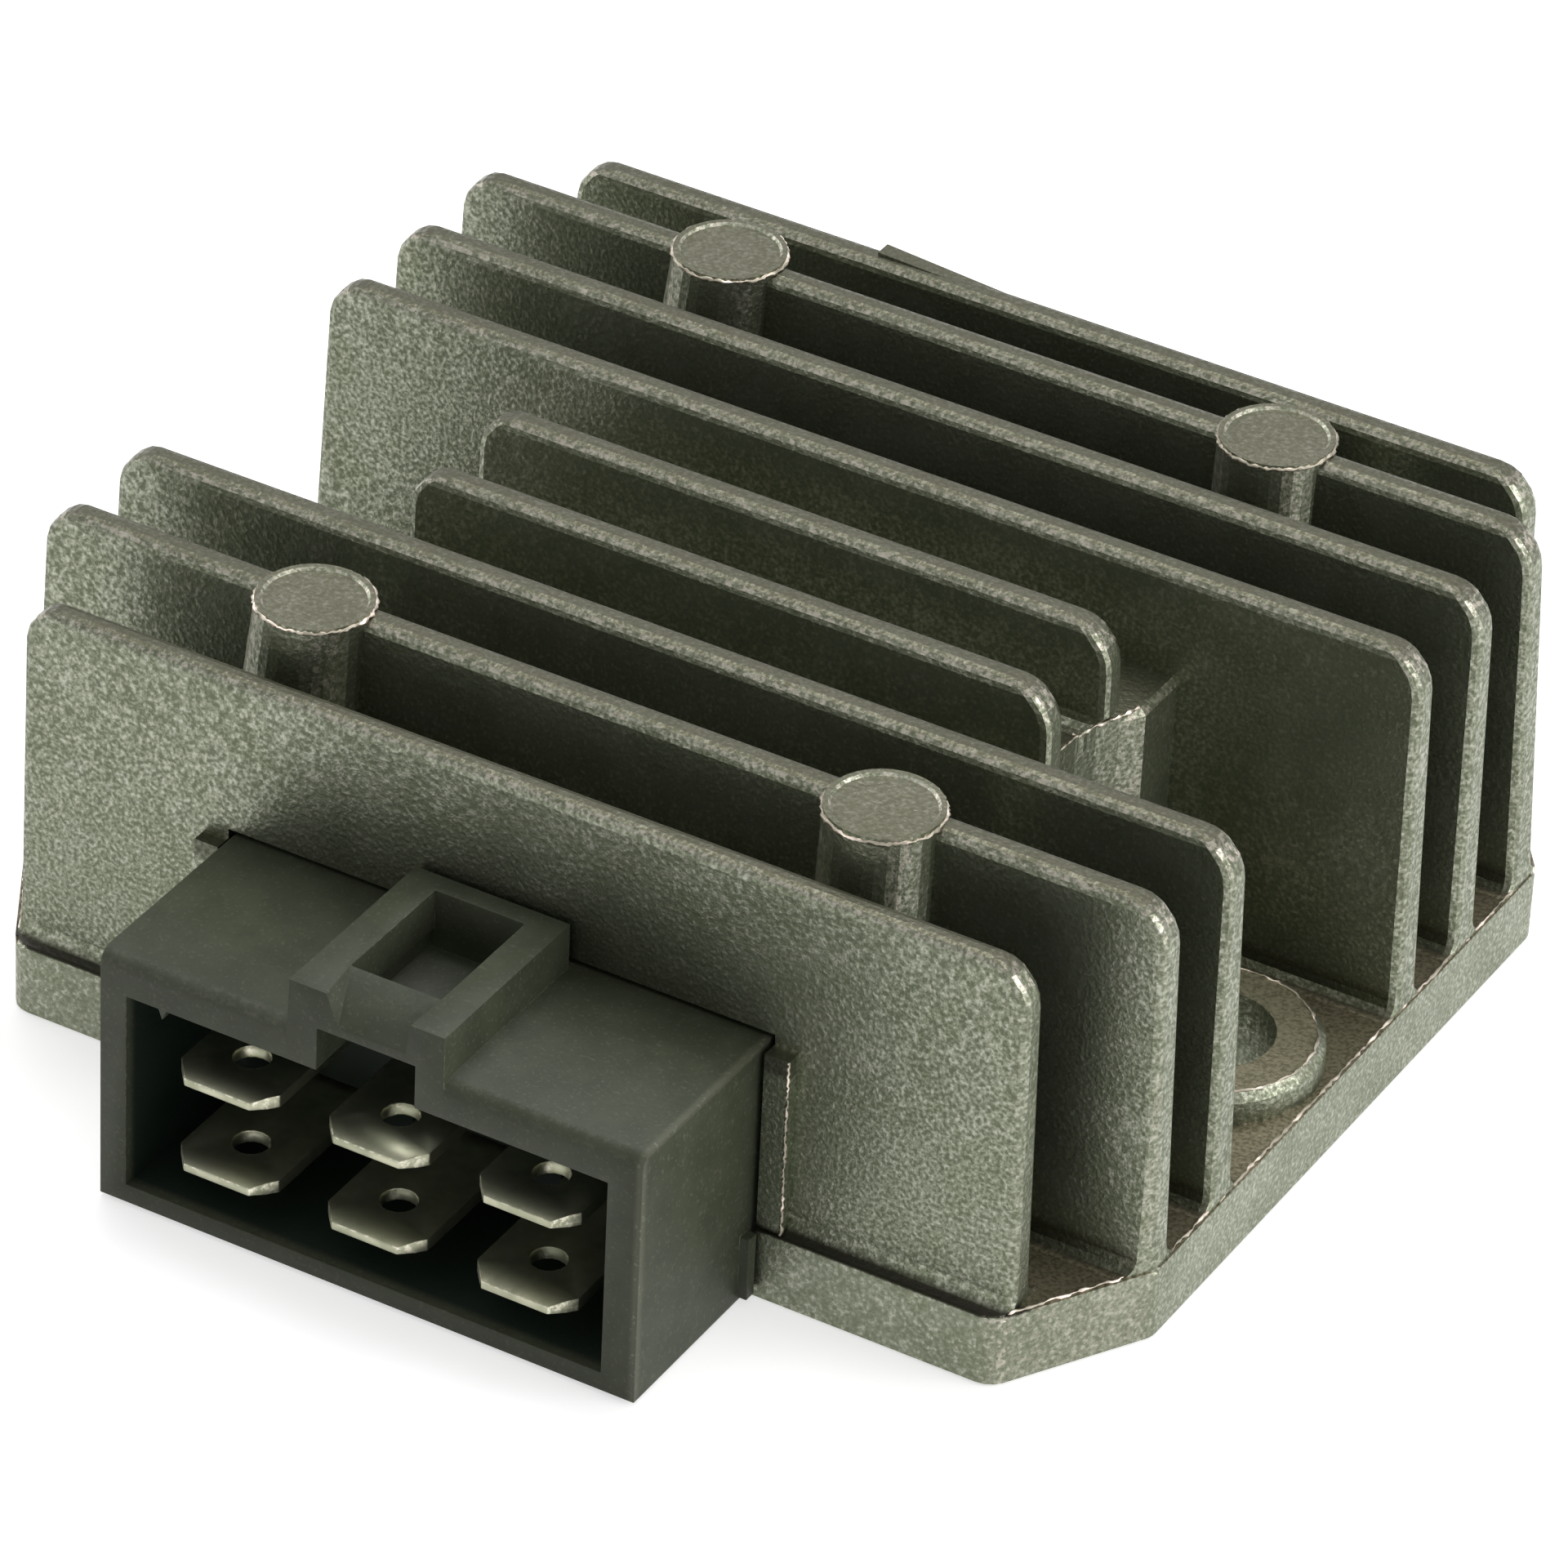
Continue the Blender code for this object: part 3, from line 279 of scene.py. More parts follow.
colour = blend_colours(tree, shaded, SPECKLE_CAST, colour)
# Painted highlight: pale glint specks in the colour.
colour = blend_colours(tree, product(tree, cast_grain["Glint"], PAINTED_GLINT_SHARE), colour, PAINTED_GLINT_COLOUR)
print("clean metal ready")

# %% [markdown]
# ## Dirt and painted shade on the casting
# Upward faces and the tops of the fins are darkened as painted shade for the weak light from above.
# Brown dirt lies on the floor between the fins and on the bolt seats. The feet of the inner fins
# and the top of the collar are darkened as painted shade, the front fin over the socket gets painted
# shade and a painted dark reflection, and the foot of the front fin gets a painted shadow line. All
# of it could be painted on an image by hand. Here each kind is a mask from height, place and
# direction, and a colour that is blended in by that mask, so one value makes it stronger or weaker.

# %% Painted shade on what faces up and on the fin tips
FACES_UP = (0.70, 0.95)
TIP_HEIGHTS = (0.0250, 0.0256)
POST_HEIGHTS = (0.02767, 0.02772)
TIP_SLOPES = (0.15, 0.50)
TOP_SHADE_SHARE = 0.62
TIP_SHADE_SHARE = 0.40
TOP_SHADE_COLOUR = (0.100, 0.088, 0.062, 1)
TIP_SHADE_COLOUR = (0.050, 0.050, 0.036, 1)
upward = ramp(tree, facing["Z"], *FACES_UP)
# Painted shade: faces that look up are darkened for the weak light from above.
colour = blend_colours(tree, product(tree, upward, TOP_SHADE_SHARE), colour, TOP_SHADE_COLOUR)
# Painted shade on the sloped tops of the fins, below the post tops.
near_top = ramp(tree, at["Z"], *TIP_HEIGHTS)
below_posts = fade(tree, at["Z"], *POST_HEIGHTS)
sloped = ramp(tree, facing["Z"], *TIP_SLOPES)
shade_on_tips = product(tree, near_top, below_posts, TIP_SHADE_SHARE, sloped)
colour = blend_colours(tree, shade_on_tips, colour, TIP_SHADE_COLOUR)
print("fin tips ready")

# %% Dirt on the floor and the bolt seats
SEAT_TOP = 0.0063
FLOOR_HEIGHTS = (PLATE_TOP + 0.2 * MM, PLATE_TOP + 0.8 * MM)
SEAT_LOW = (SEAT_TOP - 0.4 * MM, SEAT_TOP - 0.1 * MM)
SEAT_HIGH = (SEAT_TOP + 0.3 * MM, SEAT_TOP + 0.7 * MM)
DIRT_SHARE = 0.85
FLOOR_COLOURS = ((0.100, 0.086, 0.048, 1), (0.250, 0.218, 0.142, 1))
SEAT_COLOURS = ((0.150, 0.138, 0.082, 1), (0.330, 0.300, 0.205, 1))
floor_dirt = blend_colours(tree, cast_grain["Speckle"], *FLOOR_COLOURS)
seat_dirt = blend_colours(tree, cast_grain["Speckle"], *SEAT_COLOURS)
on_floor = product(tree, upward, fade(tree, at["Z"], *FLOOR_HEIGHTS), DIRT_SHARE)
colour = blend_colours(tree, on_floor, colour, floor_dirt)
seat_band = product(tree, ramp(tree, at["Z"], *SEAT_LOW), fade(tree, at["Z"], *SEAT_HIGH))
on_seat = product(tree, upward, seat_band, DIRT_SHARE)
colour = blend_colours(tree, on_seat, colour, seat_dirt)
dirty = calculate(tree, "MAXIMUM", on_floor, on_seat)
print("floor and seats ready")

# %% Painted shade in the feet of the inner fins
HOLE_PLACE = Vector((0.0291, 0.0028))
SEAT_REACH = 7.6 * MM
FRONT_FIN_BACK = (-0.0228, -0.0222)
RUNS_ALONG_X = (0.30, 0.60)
FILLET_START = (PLATE_TOP + 0.02 * MM, PLATE_TOP + 0.10 * MM)
FILLET_END = (PLATE_TOP + 0.8 * MM, PLATE_TOP + 1.8 * MM)
FILLET_SHADE_SHARE = 0.70
FILLET_SHADE_COLOUR = (0.050, 0.047, 0.030, 1)
across = calculate(tree, "SUBTRACT", calculate(tree, "ABSOLUTE", at["X"]), HOLE_PLACE.x)
along = calculate(tree, "SUBTRACT", at["Y"], HOLE_PLACE.y)
reach = calculate(tree, "ADD", product(tree, across, across), product(tree, along, along))
off_seat = calculate(tree, "GREATER_THAN", reach, SEAT_REACH ** 2)
along_fin = fade(tree, calculate(tree, "ABSOLUTE", facing["X"]), *RUNS_ALONG_X)
behind = ramp(tree, at["Y"], *FRONT_FIN_BACK)
fillet = product(
    tree, ramp(tree, at["Z"], *FILLET_START), ramp(tree, at["Z"], *FILLET_END, FILLET_SHADE_SHARE, 0.0)
)
# Painted shade in the crease where the inner fins meet the plate.
shade_in_fillet = product(tree, off_seat, along_fin, behind, fillet)
colour = blend_colours(tree, shade_in_fillet, colour, FILLET_SHADE_COLOUR)
print("inner feet ready")

# %% Painted shadow line under the front fin
LINE_LOW = (PLATE_TOP - 0.15 * MM, PLATE_TOP - 0.04 * MM)
LINE_HIGH = (PLATE_TOP + 0.05 * MM, PLATE_TOP + 0.45 * MM)
FOOT_SHADOW_SHARE = 0.93
FOOT_SHADOW_COLOUR = (0.022, 0.021, 0.015, 1)
# Painted shadow: a near-black line in the ledge at the foot of the front fin.
line = product(tree, ramp(tree, at["Z"], *LINE_LOW), fade(tree, at["Z"], *LINE_HIGH), FOOT_SHADOW_SHARE)
shadow_in_foot = product(tree, line, fade(tree, at["Y"], *FRONT_FIN_BACK))
colour = blend_colours(tree, shadow_in_foot, colour, FOOT_SHADOW_COLOUR)
print("line under the front fin ready")

# %% Painted shade on the upper part of the collar
CHEEK_FRONT = (-0.0237, -0.0234)
CHEEK_TOP = (0.0144, 0.0150)
CHEEK_SHADE_SHARE = 0.65
CHEEK_SHADE_COLOUR = (0.040, 0.042, 0.028, 1)
# Painted shade on the top of the collar beside the socket.
before_fins = fade(tree, at["Y"], *CHEEK_FRONT)
shade_on_cheeks = product(tree, before_fins, ramp(tree, at["Z"], *CHEEK_TOP), CHEEK_SHADE_SHARE)
colour = blend_colours(tree, shade_on_cheeks, colour, CHEEK_SHADE_COLOUR)
print("collar ready")

# %% Painted shade and dark reflection on the front fin over the socket
SOCKET_MIDDLE = -0.0007
SOCKET_SPAN = (0.0100, 0.0190)
SHADE_LOW = (0.0150, 0.0165)
SHADE_HIGH = (0.0175, 0.0245)
FACES_FRONT = (-0.98, -0.90)
SOCKET_SHADE_SHARE = 0.42
SOCKET_SHADE_COLOUR = (0.030, 0.034, 0.020, 1)
off_middle = calculate(tree, "ABSOLUTE", calculate(tree, "SUBTRACT", at["X"], SOCKET_MIDDLE))
over_socket = fade(tree, off_middle, *SOCKET_SPAN)
band = product(tree, ramp(tree, at["Z"], *SHADE_LOW), fade(tree, at["Z"], *SHADE_HIGH))
# Painted shade and dark reflection on the front fin just above the socket.
painted_socket_shade = product(tree, band, over_socket, fade(tree, facing["Y"], *FACES_FRONT), SOCKET_SHADE_SHARE)
colour = blend_colours(tree, painted_socket_shade, colour, SOCKET_SHADE_COLOUR)
print("grime ready")

# %% Bare edges, partly painted edge highlight
WEAR_FROM = (PLATE_TOP + 1.4 * MM, PLATE_TOP + 2.6 * MM)
RIM_WEAR_TO = (PLATE_TOP + 0.02 * MM, PLATE_TOP + 0.08 * MM)
FIN_ENDS = (0.15, 0.40)
LESS_ON_TIPS = 0.55
WEAR_AND_HIGHLIGHT_SHARE = 0.65
BARE_AND_HIGHLIGHT_COLOUR = (0.62, 0.56, 0.49, 1)
above_root = ramp(tree, at["Z"], *WEAR_FROM)
allowed = calculate(tree, "MAXIMUM", above_root, fade(tree, at["Z"], *RIM_WEAR_TO))
at_ends = ramp(tree, calculate(tree, "ABSOLUTE", facing["X"]), *FIN_ENDS, LESS_ON_TIPS, 1.0)
cast_edges = use_group(tree, edges, Normal=normal, Place=place)
# Bare edges: partly wear and partly painted edge highlight.
wear_and_highlight = product(tree, cast_edges["Wear"], allowed, at_ends, WEAR_AND_HIGHLIGHT_SHARE)
colour = blend_colours(tree, wear_and_highlight, colour, BARE_AND_HIGHLIGHT_COLOUR)
tree.links.new(colour, shader.inputs["Base Color"])
print("colour of the casting ready")

# %% How the casting shines
CLEAN_METAL, DIRTY_METAL = 0.97, 0.45
DULL_SPECKLE, CLEAN_SPECKLE = 0.50, 0.37
DIMPLE_STRENGTH = 0.3
DIMPLE_DEPTH = 0.12 * MM
metal = ramp(tree, dirty, 0.0, 1.0, CLEAN_METAL, DIRTY_METAL)
tree.links.new(metal, shader.inputs["Metallic"])
rough = ramp(tree, cast_grain["Speckle"], 0.0, 1.0, DULL_SPECKLE, CLEAN_SPECKLE)
tree.links.new(rough, shader.inputs["Roughness"])
add_bump(tree, shader, cast_grain["Height"], DIMPLE_STRENGTH, DIMPLE_DEPTH)
print("material:", casting.name)

# %% [markdown]
# ## Moulded plastic
# The socket is a dark grey glass-filled plastic with a faint moulded texture, fine pale dust and
# scuffed corners. Its pale edges and scuffs are partly painted edge highlight, and its hollow is
# darkened with painted shade. One flat colour would look drawn, so noise changes it a little. The
# same texture serves the moulded packages and the sealing compound inside, so it is a group, and one
# function makes the three materials from it.

# %% Group: moulded texture
FINE_SCALE = 3600.0
SLOW_SCALE = 420.0
DUST_SCALE = 4300.0
SLOW_RANGE = (0.3, 0.7)
DUST_RANGE = (0.58, 0.74)
mould, m_in, m_out = new_group("moulded_texture", ["Place"], ["Height", "Tone", "Dust"])
fine = noise(mould, m_in["Place"], FINE_SCALE, detail=2.0, roughness=0.5)
slow = noise(mould, m_in["Place"], SLOW_SCALE, detail=3.0, roughness=0.6)
specks = noise(mould, m_in["Place"], DUST_SCALE, detail=1.0, roughness=0.5)
mould.links.new(fine, m_out["Height"])
mould.links.new(ramp(mould, slow, *SLOW_RANGE), m_out["Tone"])
mould.links.new(ramp(mould, specks, *DUST_RANGE), m_out["Dust"])
print("group:", mould.name)

# %% Helper: scuffs and painted edge highlight on the right corner of the socket
SOCKET_FRONT = -0.0362
SOCKET_ROOF = 0.0160
SOCKET_SIDE = 0.0160
FRONT_SCUFF = (SOCKET_FRONT + 0.1 * MM, SOCKET_FRONT + 0.7 * MM)
ROOF_SCUFF = (SOCKET_ROOF - 0.3 * MM, SOCKET_ROOF)
SIDE_SCUFF = (SOCKET_SIDE - 0.4 * MM, SOCKET_SIDE)
LESS_ON_ROOF = 0.8
LEAST_SCUFF, DUSTY_SCUFF = 0.30, 0.50


def scuffs_and_highlight(tree, at, dust):
    """Pale scuffs, partly painted edge highlight, on the right edges of the socket, front and roof.
    """
    near_front = fade(tree, at["Y"], *FRONT_SCUFF)
    near_roof = product(tree, ramp(tree, at["Z"], *ROOF_SCUFF), LESS_ON_ROOF)
    near_side = ramp(tree, at["X"], *SIDE_SCUFF)
    scuffs = calculate(tree, "MULTIPLY_ADD", dust, DUSTY_SCUFF, LEAST_SCUFF)
    return product(tree, calculate(tree, "MAXIMUM", near_front, near_roof), near_side, scuffs)


print("helper ready")

# %% Helpers: clean gusset and painted shade in the mouth of the socket
GUSSET_MIDDLE = -0.0036
GUSSET_SPREAD = 0.0026
GUSSET_LOWEST = 0.0140
GUSSET_BACK = -0.0330
MOUTH_SIDES = (-0.0160, 0.0141)
MOUTH_HEIGHTS = (0.0012, 0.0138)
MOUTH_DEPTHS = (SOCKET_FRONT + 0.3 * MM, SOCKET_FRONT + 1.0 * MM)


def beside_latch(tree, at):
    """1 on the small gusset left of the latch, which nothing rubs."""
    across = calculate(tree, "COMPARE", at["X"], GUSSET_MIDDLE, GUSSET_SPREAD)
    high = calculate(tree, "GREATER_THAN", at["Z"], GUSSET_LOWEST)
    forward = calculate(tree, "LESS_THAN", at["Y"], GUSSET_BACK)
    return product(tree, across, high, forward)


def shade_inside_mouth(tree, at):
    """1 in the hollow of the socket, darkened as painted shade because hardly any light comes in."""
    inside = ramp(tree, at["Y"], *MOUTH_DEPTHS)
    for axis, (low, high) in (("X", MOUTH_SIDES), ("Z", MOUTH_HEIGHTS)):
        beyond = calculate(tree, "GREATER_THAN", at[axis], low)
        short_of = calculate(tree, "LESS_THAN", at[axis], high)
        inside = product(tree, inside, beyond, short_of)
    return inside


print("helpers ready")

# %% Helper: moulded material
BROW_SLOPE = (1.25, 1.40)
PALE_WEAR_AND_HIGHLIGHT = (0.24, 0.24, 0.18, 1)
MOUTH_SHADE_COLOUR = (0.006, 0.012, 0.008, 1)
DUST_ALL_OVER, MORE_ON_SIDES = 0.16, 0.12
MOULDED_SHEEN = 0.28
TEXTURE_DEPTH = 0.05 * MM


def moulded_material(name, dark, light, roughness, texture, rubbed=0.0, is_socket=False):
    """Plastic in two tones; rubbed is the share of pale edges, partly painted highlight, and dust.
    """
    material, tree, shader = new_material(name)
    place, normal, at, facing = read_surface(tree)
    surface = use_group(tree, mould, Place=place)
    rims = use_group(tree, edges, Normal=normal, Place=place)
    colour = blend_colours(tree, surface["Tone"], dark, light)
    leaning = calculate(tree, "SUBTRACT", facing["Z"], facing["Y"])
    pale = product(tree, rims["Wear"], fade(tree, leaning, *BROW_SLOPE), rubbed)
    if is_socket:
        pale = product(tree, pale, calculate(tree, "SUBTRACT", 1.0, beside_latch(tree, at)))
        pale = calculate(tree, "MAXIMUM", pale, scuffs_and_highlight(tree, at, surface["Dust"]))
    on_sides = calculate(tree, "ABSOLUTE", facing["X"])
    more, least = MORE_ON_SIDES * rubbed, DUST_ALL_OVER * rubbed
    dusty = calculate(tree, "MULTIPLY_ADD", on_sides, more, least)
    pale = calculate(tree, "MAXIMUM", pale, product(tree, surface["Dust"], dusty))
    # Pale edges and scuffs: partly wear and partly painted edge highlight; the dust is real.
    colour = blend_colours(tree, pale, colour, PALE_WEAR_AND_HIGHLIGHT)
    # Painted shade in the hollow of the socket.
    if is_socket:
        colour = blend_colours(tree, shade_inside_mouth(tree, at), colour, MOUTH_SHADE_COLOUR)
    tree.links.new(colour, shader.inputs["Base Color"])
    shader.inputs["Roughness"].default_value = roughness
    shader.inputs["Specular IOR Level"].default_value = MOULDED_SHEEN
    add_bump(tree, shader, surface["Height"], texture, TEXTURE_DEPTH)
    return material


print("helper ready")

# %% Materials: moulded parts
plastic = moulded_material(
    "socket_plastic",
    dark=(0.042, 0.049, 0.029, 1),
    light=(0.058, 0.066, 0.041, 1),
    roughness=0.50,
    texture=0.35,
    rubbed=0.80,
    is_socket=True,
)
package = moulded_material(
    "package_plastic",
    dark=(0.018, 0.018, 0.019, 1),
    light=(0.030, 0.030, 0.031, 1),
    roughness=0.42,
    texture=0.25,
)
compound = moulded_material(
    "poured_compound",
    dark=(0.012, 0.012, 0.013, 1),
    light=(0.022, 0.022, 0.022, 1),
    roughness=0.30,
    texture=0.10,
)
print("materials:", plastic.name, package.name, compound.name)

# %% [markdown]
# ## Metals and small parts
# Tinned blades, the bare substrate, the can and the torn flash share one group of drawn metal. Its
# lines are noise that is stretched along the piece, because real draw marks are too fine to model.
# The board and the dipped resistors are plain coats.

# %% Group: drawn metal
LINE_SCALE = 1000.0
STAIN_SCALE = 500.0
STAIN_RANGE = (0.3, 0.7)
drawn, d_in, d_out = new_group("drawn_metal", ["Place", "Stretch"], ["Height", "Tone"])
settings = {"operation": "MULTIPLY"}
stretched = add_node(drawn, "ShaderNodeVectorMath", settings, i0=d_in["Place"], i1=d_in["Stretch"])
fine_lines = noise(drawn, stretched.outputs[0], LINE_SCALE, detail=3.0, roughness=0.6)
stains = noise(drawn, d_in["Place"], STAIN_SCALE, detail=2.0, roughness=0.5)
drawn.links.new(fine_lines, d_out["Height"])
drawn.links.new(ramp(drawn, stains, *STAIN_RANGE), d_out["Tone"])
print("group:", drawn.name)

# %% Helper: bare metal
POLISHED = (0.92, 0.88, 0.72, 1)
DULLER_STAINS = 0.08
LINE_DEPTH = 0.03 * MM


def metal_material(name, dull, clean, roughness, stretch, texture, rare=0.0, rubbed=0.0):
    """Bare metal, dull and clean; rare makes clean patches fewer, rubbed polishes the edges."""
    material, tree, shader = new_material(name)
    place, normal, _, _ = read_surface(tree)
    surface = use_group(tree, drawn, Place=place, Stretch=stretch)
    rims = use_group(tree, edges, Normal=normal, Place=place)
    colour = blend_colours(tree, ramp(tree, surface["Tone"], rare, 1.0), dull, clean)
    colour = blend_colours(tree, product(tree, rims["Wear"], rubbed), colour, POLISHED)
    tree.links.new(colour, shader.inputs["Base Color"])
    shader.inputs["Metallic"].default_value = 1.0
    rough = ramp(tree, surface["Tone"], 0.0, 1.0, roughness + DULLER_STAINS, roughness)
    tree.links.new(rough, shader.inputs["Roughness"])
    add_bump(tree, shader, surface["Height"], texture, LINE_DEPTH)
    return material


print("helper ready")

# %% Materials: blades and torn flash
tinned = metal_material(
    "tinned_finish",
    dull=(0.32, 0.33, 0.23, 1),
    clean=(0.46, 0.46, 0.34, 1),
    roughness=0.36,
    stretch=(1.6, 0.35, 1.6),
    texture=0.12,
    rubbed=0.8,
)
bare = metal_material(
    "bare_flash",
    dull=(0.34, 0.31, 0.25, 1),
    clean=(0.92, 0.80, 0.70, 1),
    roughness=0.42,
    stretch=(1.0, 1.0, 1.0),
    texture=0.3,
    rare=0.44,
)
print("materials:", tinned.name, bare.name)

# %% Materials: hidden metal parts
rolled = metal_material(
    "rolled_finish",
    dull=(0.52, 0.53, 0.54, 1),
    clean=(0.62, 0.63, 0.64, 1),
    roughness=0.34,
    stretch=(0.2, 1.8, 1.0),
    texture=0.3,
)
can = metal_material(
    "can_finish",
    dull=(0.50, 0.51, 0.53, 1),
    clean=(0.60, 0.61, 0.63, 1),
    roughness=0.30,
    stretch=(1.0, 1.0, 0.2),
    texture=0.2,
)
print("materials:", rolled.name, can.name)


# %% Materials: coated parts
def coated_material(name, dark, light, scale, roughness, coat):
    """A coloured coat with a soft change of tone."""
    material, tree, shader = new_material(name)
    where = add_node(tree, "ShaderNodeTexCoord")
    weave = noise(tree, where.outputs["Object"], scale, detail=2.0, roughness=0.5)
    colour = blend_colours(tree, weave, dark, light)
    tree.links.new(colour, shader.inputs["Base Color"])
    shader.inputs["Roughness"].default_value = roughness
    shader.inputs["Coat Weight"].default_value = coat
    return material


board = coated_material(
    "board_finish",
    dark=(0.020, 0.090, 0.045, 1),
    light=(0.045, 0.150, 0.075, 1),
    scale=900.0,
    roughness=0.40,
    coat=0.3,
)
dipped = coated_material(
    "resistor_finish",
    dark=(0.42, 0.30, 0.17, 1),
    light=(0.52, 0.39, 0.24, 1),
    scale=700.0,
    roughness=0.45,
    coat=0.2,
)
print("materials:", board.name, dipped.name)

# %% [markdown]
# ## Give every piece its finish
# Each piece could be given its material by name. But the record already names the material slot of
# every piece, so one table from slot to finish is enough, and no piece can be forgotten.

# %% Assign the finishes
finishes = {
    "cast_aluminium": casting,
    "black_plastic": plastic,
    "tinned_brass": tinned,
    "substrate_metal": rolled,
    "moulded_package": package,
    "board_laminate": board,
    "capacitor_can": can,
    "resistor_coat": dipped,
    "sealing_compound": compound,
}
slot_of = {part["node"]: part["material_slot"] for part in frame["record"]["subparts"]}
for name, node in nodes.items():
    for material_slot in node.material_slots:
        material_slot.material = finishes[slot_of[name]]
print("finished nodes:", len(nodes))


# %% [markdown]
# ## Soft edges on the moulded parts
# No moulded or stamped part has knife edges, and a rounded edge catches a thin line of light. A
# copy of the socket and of each blade is merged, cleaned of needless edges and bevelled, and then
# stands for the CAD piece, which stays as it was. The bevel modifier finds the sharp edges by their
# angle, which is quicker than picking them by hand.

# %% Helper: merged copy of a piece
MERGE_DISTANCE = 0.005 * MM
FLAT_ENOUGH = math.radians(1.0)


def pick_only(piece):
    """Select one object alone and make it active."""
    bpy.ops.object.select_all(action="DESELECT")
    piece.select_set(True)
    bpy.context.view_layer.objects.active = piece


def merged_copy(node_name):
    """Copy a CAD piece, free it from its parent, join its loose triangles and drop flat edges."""
    pick_only(nodes[node_name])
    bpy.ops.object.duplicate()
    copy = bpy.context.active_object
    bpy.ops.object.parent_clear(type="CLEAR_KEEP_TRANSFORM")
    bpy.ops.object.mode_set(mode="EDIT")
    bpy.ops.mesh.select_all(action="SELECT")
    bpy.ops.mesh.remove_doubles(threshold=MERGE_DISTANCE)
    bpy.ops.mesh.dissolve_limited(angle_limit=FLAT_ENOUGH)
    bpy.ops.object.mode_set(mode="OBJECT")
    return copy


print("helper ready")


# %% Helper: rounded copy of a piece
SHARP_FROM = math.radians(30)
SMOOTH_UP_TO = math.radians(40)


def soften_copy(node_name, new_name, width, segments):
    """Round the sharp edges of a copy and let it stand for the piece."""
    copy = merged_copy(node_name)
    copy.name = new_name
    if copy.data.has_custom_normals:
        bpy.ops.mesh.customdata_custom_splitnormals_clear()
    rounding = copy.modifiers.new("rounding", "BEVEL")
    rounding.width = width
    rounding.segments = segments
    rounding.limit_method = "ANGLE"
    rounding.angle_limit = SHARP_FROM
    rounding.use_clamp_overlap = True
    rounding.harden_normals = False
    bpy.ops.object.modifier_apply(modifier=rounding.name)
    bpy.ops.object.shade_smooth_by_angle(angle=SMOOTH_UP_TO)
    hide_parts(node_name)
    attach(copy, "root")
    print(new_name, "faces:", len(copy.data.polygons))


print("helper ready")

# %% Round the socket and the blades
SOCKET_ROUND = 0.14 * MM
BLADE_ROUND = 0.09 * MM
BLADE_COUNT = 6
soften_copy("connector_housing", "socket_shell", SOCKET_ROUND, segments=2)
for number in range(1, BLADE_COUNT + 1):
    soften_copy(f"blade_terminal_{number}", f"blade_{number}", BLADE_ROUND, segments=2)

# %% [markdown]
# ## Flash round the ejector posts
# Where the die's pins meet the posts, metal creeps into the gap and leaves a thin ragged lip just
# under each flat top. One ring is shaped from a torus: it is flattened, roughened and let down on
# one side. Each post gets its own turned copy, with a mesh of its own.

# %% Shape one ring
LIP_RADIUS = 3.26 * MM
LIP_THICKNESS = 0.17 * MM
LIP_FLATTENING = 0.62
LIP_TEAR = 0.13 * MM
OUTER_SIDE = LIP_RADIUS + 0.3 * LIP_THICKNESS
bpy.ops.object.select_all(action="DESELECT")
bpy.ops.mesh.primitive_torus_add(
    major_radius=LIP_RADIUS,
    minor_radius=LIP_THICKNESS,
    major_segments=120,
    minor_segments=10,
    location=(0.0, 0.0, 0.0),
)
first_lip = bpy.context.active_object
bpy.ops.object.mode_set(mode="EDIT")
bpy.ops.mesh.select_all(action="SELECT")
bpy.ops.transform.resize(value=(1.0, 1.0, LIP_FLATTENING))
bpy.ops.mesh.select_all(action="DESELECT")
bpy.ops.object.mode_set(mode="OBJECT")
for vertex in first_lip.data.vertices:
    vertex.select = vertex.co.xy.length > OUTER_SIDE
print("vertices of the outer side:", sum(v.select for v in first_lip.data.vertices))

# %% Roughen the outer side of the ring
bpy.ops.object.mode_set(mode="EDIT")
bpy.ops.transform.vertex_random(offset=LIP_TEAR, uniform=0.2, normal=0.6, seed=4)
bpy.ops.mesh.select_all(action="SELECT")
bpy.ops.mesh.vertices_smooth(factor=0.35)
bpy.ops.mesh.normals_make_consistent(inside=False)
bpy.ops.object.mode_set(mode="OBJECT")
bpy.ops.object.shade_smooth()
print("ring faces:", len(first_lip.data.polygons))

# %% Helper: put a copy round one post
LIP_HEIGHT = 27.78 * MM
DROOP_REACH = 4.0 * MM
DROOP_START = 0.5 * LIP_RADIUS


def put_lip(name, x, y, turn, droop):
    """A copy of the ring round one post, turned, with its front let down by droop."""
    pick_only(first_lip)
    bpy.ops.object.duplicate()
    lip = bpy.context.active_object
    lip.name = name
    lip.rotation_euler.z = math.radians(turn)
    lip.location = (x, y, LIP_HEIGHT)
    bpy.ops.object.transform_apply(location=True, rotation=True, scale=True)
    for vertex in lip.data.vertices:
        vertex.select = vertex.co.y < y - DROOP_START
    bpy.ops.object.mode_set(mode="EDIT")
    bpy.ops.transform.translate(
        value=(0.0, 0.0, -droop),
        use_proportional_edit=True,
        proportional_edit_falloff="SMOOTH",
        proportional_size=DROOP_REACH,
    )
    bpy.ops.object.mode_set(mode="OBJECT")
    lip.data.materials.clear()
    lip.data.materials.append(bare)
    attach(lip, "root")
    print(name, "at", (x, y))


print("helper ready")

